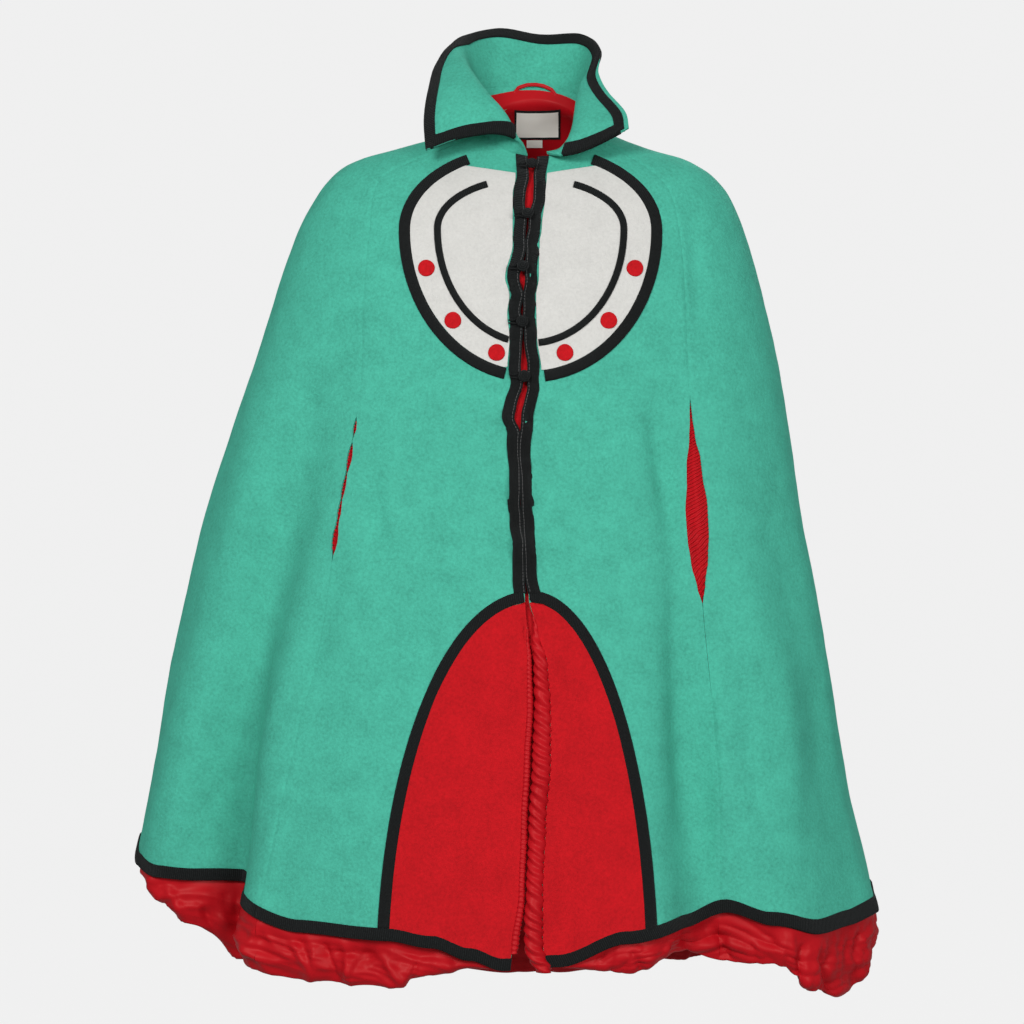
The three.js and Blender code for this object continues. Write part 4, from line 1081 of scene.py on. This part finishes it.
def make_lining():
    """The satin lining, with its crumpled pouch below the hem."""
    rows = lining_rows()
    v, below, inset = np.clip(rows["v"], 0, HEM), rows["below"], rows["inset"]
    places = np.linspace(0, 12, 400)
    turned = smooth(COLLAR, "angle", places)
    def recess(side, ring_at):
        share = np.clip((ring_at - SLIT_FROM) / (SLIT_TO[side] - SLIT_FROM), 0, 1)
        return LINING_BACK * SLIT_PART * LINING_PART * np.sin(np.pi * share) ** 1.2

    for name, count in PANELS.items():
        first, last = panel_limits(name, v, 0.0, recess)
        if name.startswith("front"):
            first = first + (1 if name.endswith("left") else -1) * 12.5 / span(first, v)
        share = np.linspace(0, 1, int(count * 2.35))
        theta = first[:, None] + (last - first)[:, None] * share
        base = cape(theta, v[:, None])
        normals = outward(theta, v[:, None])
        level = 1 - ease((v - 4) / 3)
        normals = unit(normals * np.stack([np.ones(len(v)), np.ones(len(v)), level], axis=-1)[:, None])
        drop = eased(HEM_LINE, "angle", "drop", wrapped(np.degrees(theta)))
        points = base - normals * inset[:, None, None]
        standing = np.linspace(1, 1 / STAND_ROWS, STAND_ROWS)[:, None]
        turn = theta[:STAND_ROWS]
        section = np.interp(np.mod(-np.degrees(turn), 360), -turned, places)
        stand = collar_point(section, standing * (0.02 + 0.15 * ease(0.5 - 0.8 * np.cos(turn))))
        room = sizes()["collar_wool"] + 2.3 + 1.2 * ease(np.cos(turn))
        points[:STAND_ROWS] = stand - from_axis(stand) * room[..., None]
        points[..., 2] -= below[:, None] * drop
        down = np.zeros(theta.shape)
        down[1:] = np.cumsum(np.linalg.norm(np.diff(points, axis=0), axis=-1), axis=0)
        hanging = np.arange(len(v))[:, None] / (len(v) - 1)
        pouch = ease((below[:, None] - 0.02) * 3) * ease(drop / 30) * (1 - ease((hanging - 0.9) / 0.1))
        surface = grid_normals(points)
        folds = pouch_relief(theta, down - down[-1:]) + crease_relief(points, POUCH_CREASES, 1)
        calm = 1 - 0.72 * surface[..., 2] ** 2
        points = points + surface * (pouch * folds * calm)[..., None]
        piece = sheet_piece(f"lining_{name}_satin", points, material("satin"), sizes()["satin"],
                            [f"lining_{name}"], out=lining_out(points))
        BODY[f"lining_{name}"] = points
        CLOTHS.append((piece, lining_cut(name), "gathered", [f"{name}_wool"]))


def make_slit_facings():
    """The gathered satin facings in both arm slits."""
    for side, _ in SIDES:
        v = np.linspace(SLIT_FROM + 0.06, SLIT_TO[side] - 0.06, 420)
        part = slit_part(side, v)
        seam = beside_seam(side, "front", v, 0)
        along = run_along(cape(seam, v))
        share = np.linspace(0, 1, 12)
        for towards, kind in ((-1, "front"), (1, "side")):
            reach = np.maximum(part + 1.2, 1.2) if side == "left" else np.full(len(v), 5.0)
            away = towards * (reach[:, None] * (1 - share) - 0.5 * share)
            theta = beside_seam(side, "front", v[:, None], away)
            points = cape(theta, v[:, None])
            normals = outward(theta, v[:, None])
            grown = ease((v - SLIT_FROM - 0.7) / 1.2)[:, None]
            slant = towards * 0.10 * (1 - share) * reach[:, None] * (0.3 + grown)
            pitch = 3.4 + 2.6 * grown
            phase = np.cumsum(np.gradient(along)[:, None] / pitch, axis=0) + slant
            phase = phase + 0.5 * ripple(points, 14, 5.5)
            pleat = 1 - 2 * np.abs(np.mod(phase, 1) * 2 - 1)
            depth = (1.9 if side == "left" else 2.6) + 1.1 * share ** 1.5 - (0.7 + 1.1 * np.sin(np.pi * share)) * pleat
            points = points + normals * (wool_relief(points) - depth)[..., None]
            piece = sheet_piece(f"slit_{side}_{kind}_facing", points, material("satin"), 0.5,
                                [f"slit_facing_{side}_{kind}"])
            if side == "left":
                CLOTHS.append((piece, facing_cut(reach, along[-1]), "gathered", [f"{kind}_{side}_wool"]))


def collar_point(section, share):
    """The collar's outer face at a fractional section and a share from the neck seam to its edge."""
    section, share = np.broadcast_arrays(section, share)
    base = cape(np.radians(smooth(COLLAR, "angle", section)), 0 * section)
    base = base + np.array([0, 0, COLLAR_LIFT])
    roll, tip = (np.stack([smooth(COLLAR, key + axis, section) for axis in "XYZ"], axis=-1) for key in ("roll", "tip"))
    a = (share - 0.5) * (share - 1) / 0.5
    b = share * (share - 1) / -0.25
    c = share * (share - 0.5) / 0.5
    points = base * a[..., None] + roll * b[..., None] + tip * c[..., None]
    wave = 1.7 * ripple(points, 27, 6.6) * np.clip(share, 0, 1)
    points[..., 2] += wave
    points[..., 1] += 0.7 * wave
    return points


def make_collar():
    """The collar's stand and leaf, and the braid on the leaf's upper face."""
    size = sizes()
    section = np.linspace(0, 12, 150)[None, :]
    pieces = (
        ("collar_stand", np.linspace(-0.022, STAND_SHARE - 0.004, 12)),
        ("collar_leaf", np.linspace(STAND_SHARE + 0.004, 1, 34)),
    )
    for name, share in pieces:
        points = collar_point(section, share[:, None])
        normals = grid_normals(points)
        seam = np.abs(share - STAND_SHARE)[:, None] * 90
        points = points + normals * (0.9 * np.exp(-(seam / 1.6) ** 2))[..., None]
        piece = sheet_piece(name + "_wool", points, material("green"), size["collar_wool"], [name],
                            soften=1.0)
        BODY[name] = points
        rests = "back_wool" if name.endswith("stand") else "collar_stand_wool"
        CLOTHS.append((piece, collar_cut(share[0], share[-1]), "folded", [rests]))
    lift = size["collar_wool"] + 0.05
    long = np.linalg.norm(collar_point(section[0], 1.0) - collar_point(section[0], 0.9), axis=-1) / 0.1
    wide = size["braid_width"] / np.interp(np.linspace(0, 12, 480), section[0], long)
    rings = []
    place = np.linspace(0.02, 11.98, 480)
    inset = (5.5 * ease((place - 8.2) / 1.2) - 0.6) * wide / size["braid_width"]
    share = 1 - inset[:, None] - wide[:, None] * np.linspace(1, 0, 7)
    rings.append(("outer", collar_point(place[:, None], share)))
    for end, start, step in (("right", 0.02, 1), ("left", 11.98, -1)):
        at_end = 0 if step > 0 else -1
        share = np.linspace(STAND_SHARE + 0.04, float(1 - inset[at_end] - 0.4 * wide[at_end]), 60)
        across = np.linalg.norm(collar_point(start + step * 0.3, share) - collar_point(start, share), axis=-1) / 0.3
        section_at = start + step * (size["braid_width"] * np.linspace(0, 1, 7)[None, :] - 0.5) / across[:, None]
        rings.append((end, collar_point(section_at, share[:, None])))
    made = []
    for kind, points in rings:
        normals = turned_to(grid_normals(points), collar_inward(points))
        wrap = (0, size["collar_wool"] + 1) if kind == "outer" else (size["collar_wool"] + 1, 0)
        made.append(braid_rings(points + normals * lift, normals, size["braid_rise"], wrap=wrap))
    joined("collar_edge_braid", made, material("black"), ["collar_braid"])


def collar_inward(points):
    """Roughly which way the collar's inner and upper face looks."""
    centre = np.array([4.0, 0.0, 0.0])
    level = points - centre
    level[..., 2] = 0
    back = ease((points[..., 1:2] + 30) / 60)
    up = np.array([0.0, 0.0, 1.0])
    return unit(-unit(level) * back + (up * 0.8 - np.array([0, 0.5, 0])) * (1 - back))


def make_neck_trim():
    """The bare label, the size tab and the hanger loop inside the back of the neck."""
    tree = grid_tree(BODY["lining_back"][:30])
    for name, x0, z0, wide, tall, look, lift in (
            ("neck_label", 8.5, 37, *LABEL, "label", 1.1), ("size_tab", 5.5, 18.4, *TAB, "tab", 1.2)):
        x, z = np.meshgrid(x0 + np.linspace(-wide / 2, wide / 2, 30), z0 + np.linspace(tall / 2, -tall / 2, 18))
        points = seen_on(tree, x, z, -40, 60)
        cut = form_cut(points[::17, ::29])
        normals = facing_normals(points)
        wave = 0.35 * ripple(points, 12, 8.8)[..., None]
        points = points + normals * (lift + 0.5 + wave)
        piece = sheet_piece(name + "_cloth", points, material(look), 0.5, [name], out=FORWARD,
                            lengths=np.stack([x - x0, z0 + tall / 2 - z], axis=-1) * MM)
        if name == "neck_label":
            CLOTHS.append((piece, cut, "laid", ["lining_back_satin"]))
    row = np.array([0.6, 0.72, 1.0, 1.2, 1.24, 1.2, 1.0, 0.72, 0.6])
    section = 6 + np.array([-0.56, -0.57, -0.46, -0.22, 0, 0.22, 0.46, 0.57, 0.56])
    t, even = np.linspace(0, 8, 9), np.linspace(0, 8, 90)
    share = np.interp(even, t, row) * 0.2 + 0.012
    middle = collar_point(np.interp(even, t, section), share)
    inward = collar_inward(middle)
    lift = sizes()["collar_wool"] + 2.2 + 1.4 * np.sin(np.pi * even / 8)
    middle = middle + inward * lift[:, None]
    rings = tube_rings(middle, inward, 2.0, 0.75, 14)
    loft_piece("hanger_loop_satin", rings, material("satin"), ["hanger_loop"])


def tube_rings(middle, out, wide, thick, sides):
    """Rings of an oval tube along a line."""
    along = unit(np.gradient(middle, axis=0))
    across = unit(np.cross(along, out))
    lift = unit(np.cross(across, along))
    turn = np.linspace(0, 2 * np.pi, sides + 1)[:-1][None, :, None]
    return middle[:, None] + wide * np.cos(turn) * across[:, None] + thick * np.sin(turn) * lift[:, None]


def make_shield():
    """The red shield behind the front opening."""
    v = np.linspace(0.12, 7.1, 120)
    middle = (edge_x("right", v) + edge_x("left", v)) / 2
    theta = angle_at_x(middle[:, None] + np.linspace(-18, 18, 16), v[:, None])
    points = cape(theta, v[:, None])
    cut = form_cut(points[::17, ::5])
    points = points - outward(theta, v[:, None]) * (sizes()["wool"] + 2.2)
    points[..., 1] += 0.8 * ripple(points, 18, 3.3)
    piece = sheet_piece("front_shield_felt", points, material("red"), 0.8, ["front_shield"])
    CLOTHS.append((piece, cut, "hung", ["front_left_wool"]))


BUTTON_HEIGHTS = (-25, -79, -134, -189, -244)
LOOP_PATH = columns(
    "across up",
    (-14, 1.5), (-8.4, 1.7), (-2, 3.1), (1.6, 3.1), (3.4, 0), (1.6, -3.1), (-2, -3.1), (-8.4, -1.7), (-14, -1.5),
)
BUTTON_PROFILE = columns(
    "across out",
    (0.4, 0), (2, 0), (2, 2.2), (4.6, 2.3), (5.7, 2.9), (6.1, 3.7), (6, 4.6), (5.3, 5.6), (4, 6.4), (2.4, 6.85),
    (0.4, 7),
)


def make_buttons():
    """The felt-covered buttons and their cord loops."""
    rise = sizes()["braid_rise"]
    turn = np.linspace(0, 2 * np.pi, 41)[:-1]
    for n, height in enumerate(BUTTON_HEIGHTS):
        near = [front_edge_at(side, max(-830, min(-16, height + step))) for side, _ in SIDES for step in (-7, 0, 7)]
        proud = min(y for _, y in near) - rise - 0.3
        slope = (near[2][1] - near[0][1] + near[5][1] - near[3][1]) / 28
        x0 = (near[1][0] + near[4][0]) / 2
        tilt = math.atan(slope)

        def place(across, up, out):
            return np.stack([x0 + across, proud - out * math.cos(tilt) + up * math.sin(tilt),
                             height + up * math.cos(tilt) + out * math.sin(tilt)], axis=-1)

        radius = BUTTON_PROFILE["across"][:, None]
        pucker = 1 + 0.02 * np.sin(9 * turn + n) * (radius > 4)
        across, up = radius * pucker * np.cos(turn), radius * pucker * np.sin(turn)
        rings = place(across, up, np.broadcast_to(BUTTON_PROFILE["out"][:, None], across.shape))
        rings = rings + 0.12 * ripple(rings, 1.8, 2.0 + n)[..., None]
        loft_piece(f"button_{n + 1}_felt", rings, material("black"), [f"button_{n + 1}"])
        t = np.linspace(0, 8, 90)
        loop = place(smooth(LOOP_PATH, "across", t), smooth(LOOP_PATH, "up", t), np.full(90, 1.0))
        toward = np.array([0, -math.cos(tilt), math.sin(tilt)])
        rings = tube_rings(loop, np.broadcast_to(toward, loop.shape), 0.95, 0.95, 10)
        loft_piece(f"button_loop_{n + 1}_cord", rings, material("black"), [f"button_loop_{n + 1}"])


# How far a satin roll lies over a front's edge, and how far behind it.
ROLL_OVERLAP, ROLL_BEHIND = 1.6, 1.4


def make_rolls():
    """The gathered satin rolls along the lower front edges."""
    for side, sign, top, low, radius, share, twist, pitch in (
            ("right", -1, -474, -812, 4.6, 0.36, 1, 4.6), ("left", 1, -478, -830, 10.0, 0.78, 3, 10.5)):
        z = np.linspace(top, low, 320)
        edge_x_at, edge_y_at = front_edge_at(side, z)
        room = (front_edge_x("left", z) - front_edge_x("right", z)) / 2
        taper = np.minimum(1, np.minimum((top - z + 8) / 40, (z - low + 20) / 30)) ** 0.6
        r = np.minimum(radius, room * share) * taper
        turn = np.linspace(0, 2 * np.pi, 33)[:-1]
        tall = np.repeat(z[:, None], len(turn), 1)
        round_roll = np.stack([tall, 6 * np.cos(turn) + 0 * tall, 6 * np.sin(turn) + 0 * tall], axis=-1)
        phase = z[:, None] / pitch + twist * turn / (2 * np.pi) + 0.45 * ripple(round_roll, 16, 3.7)
        gather = 1 - 2 * np.abs(np.mod(phase, 1) * 2 - 1)
        fat = r[:, None] * (0.9 + 0.13 * gather)
        x = edge_x_at[:, None] - sign * (r[:, None] - ROLL_OVERLAP) + fat * np.cos(turn)
        y = edge_y_at[:, None] + ROLL_BEHIND + fat * np.sin(turn)
        rings = np.stack([x, y, tall], axis=-1)
        loft_piece(f"edge_roll_{side}_satin", rings, material("satin"), [f"edge_roll_{side}"])


# The pale paper's brightness, and the height in metres that the lamps and the camera look at.
PAPER = 0.865
MIDDLE_HEIGHT = -0.38


def make_stage():
    """A pale bowl of paper on all sides, soft light, and the camera."""
    low, reach = -1.35, 8.0
    profile = [(0.0, low), (2.5, low), (5.0, low)] + [
        (5.0 + 3.0 * math.sin(a), low + 3.0 - 3.0 * math.cos(a)) for a in np.linspace(0.15, math.pi / 2, 12)] + [
        (reach * math.cos(a), low + 3.0 + 4.0 * math.sin(a)) for a in np.linspace(0.1, math.pi / 2, 16)]
    turn = np.linspace(0, 2 * np.pi, 65)
    points = np.array([[(r * math.cos(a), r * math.sin(a), z) for a in turn] for r, z in profile]) / MM
    mesh = bpy.data.meshes.new("studio_floor")
    bm = grid_bmesh(points)
    bm.to_mesh(mesh)
    bm.free()
    mesh.shade_smooth()
    floor = linked("studio_floor", mesh)
    floor.visible_diffuse = floor.visible_glossy = floor.visible_shadow = False
    stuff, shader, coordinates = begin("Pale paper", Roughness=1.0, Specular_IOR_Level=0.0,
                                       Emission_Color=(1, 1, 1, 1), Emission_Strength=PAPER)
    grain = noise_at(stuff, coordinates.outputs["Object"], 3, 2)
    tone = ramp(stuff, grain, (0, (0.01, 0.01, 0.01)), (1, (0.012, 0.012, 0.012)))
    finish_material(stuff, shader, tone, grain, 0.02, 0.001)
    mesh.materials.append(stuff)

    world = bpy.data.worlds.new("Studio")
    bpy.context.scene.world = world
    world.use_nodes = True
    background = world.node_tree.nodes["Background"]
    background.inputs["Color"].default_value = (1, 1, 1, 1)
    background.inputs["Strength"].default_value = 0.28
    for name, place, power_watts, across in (
            ("Key light", (-1.2, -3.1, 1.0), 82, 1.0), ("Front light", (1.6, -3.5, 0.2), 70, 1.4),
            ("Back light", (0.8, 3.2, 1.6), 70, 2.4)):
        data = bpy.data.lights.new(name, "AREA")
        data.energy = power_watts
        data.size = across
        lamp = linked(name, data)
        lamp.location = place
        lamp.rotation_euler = (Vector((0, 0, MIDDLE_HEIGHT)) - Vector(place)).to_track_quat("-Z", "Y").to_euler()

    data = bpy.data.cameras.new("Camera")
    data.sensor_width = 36
    data.lens = 18 / math.tan(math.radians(19.68 / 2))
    data.clip_end = 60
    camera = linked("Camera", data)
    camera.location = (-0.0189, -3.1, MIDDLE_HEIGHT)
    camera.rotation_euler = (math.pi / 2, 0, 0)
    bpy.context.scene.camera = camera
    bpy.context.scene.view_settings.view_transform = "Standard"


def piece_operator(name, label, make):
    """An operator class that makes a group of like pieces."""
    def execute(self, context):
        make()
        return {"FINISHED"}
    return type(f"CAPE_OT_{name}", (bpy.types.Operator,), {
        "bl_idname": f"cape.{name}", "bl_label": label, "__doc__": make.__doc__, "execute": execute})


OPERATORS = [
    piece_operator("stage", "Stage", make_stage),
    piece_operator("panels", "Wool panels", make_panels),
    piece_operator("collar", "Collar", make_collar),
    piece_operator("bibs", "White bibs", make_bibs),
    piece_operator("corners", "Corner patches", make_corners),
    piece_operator("hem_braids", "Hem braids", make_hem_braids),
    piece_operator("front_braids", "Front braids", make_front_braids),
    piece_operator("lining", "Lining", make_lining),
    piece_operator("slit_facings", "Slit facings", make_slit_facings),
    piece_operator("neck_trim", "Label and hanger loop", make_neck_trim),
    piece_operator("shield", "Front shield", make_shield),
    piece_operator("buttons", "Buttons and loops", make_buttons),
    piece_operator("rolls", "Satin rolls", make_rolls),
]


class CAPE_PT_panel(bpy.types.Panel):
    """Sizes, colours and pieces of the cape"""
    bl_label = "Wool Cape"
    bl_space_type = "VIEW_3D"
    bl_region_type = "UI"
    bl_category = "Wool Cape"

    def draw(self, context):
        for group in (context.scene.cape_sizes, context.scene.cape_colours):
            for key in group.__annotations__:
                self.layout.prop(group, key)
        for operator in OPERATORS:
            self.layout.operator(operator.bl_idname)


CLASSES = [CapeSizes, CapeColours, *OPERATORS, CAPE_PT_panel]


def register():
    for cls in CLASSES:
        bpy.utils.register_class(cls)
    bpy.types.Scene.cape_sizes = bpy.props.PointerProperty(type=CapeSizes)
    bpy.types.Scene.cape_colours = bpy.props.PointerProperty(type=CapeColours)


def unregister():
    del bpy.types.Scene.cape_colours
    del bpy.types.Scene.cape_sizes
    for cls in reversed(CLASSES):
        bpy.utils.unregister_class(cls)


def main():
    register()
    for operator in OPERATORS:
        getattr(bpy.ops.cape, operator.bl_idname.split(".")[1])()


if __name__ == "__main__":
    main()
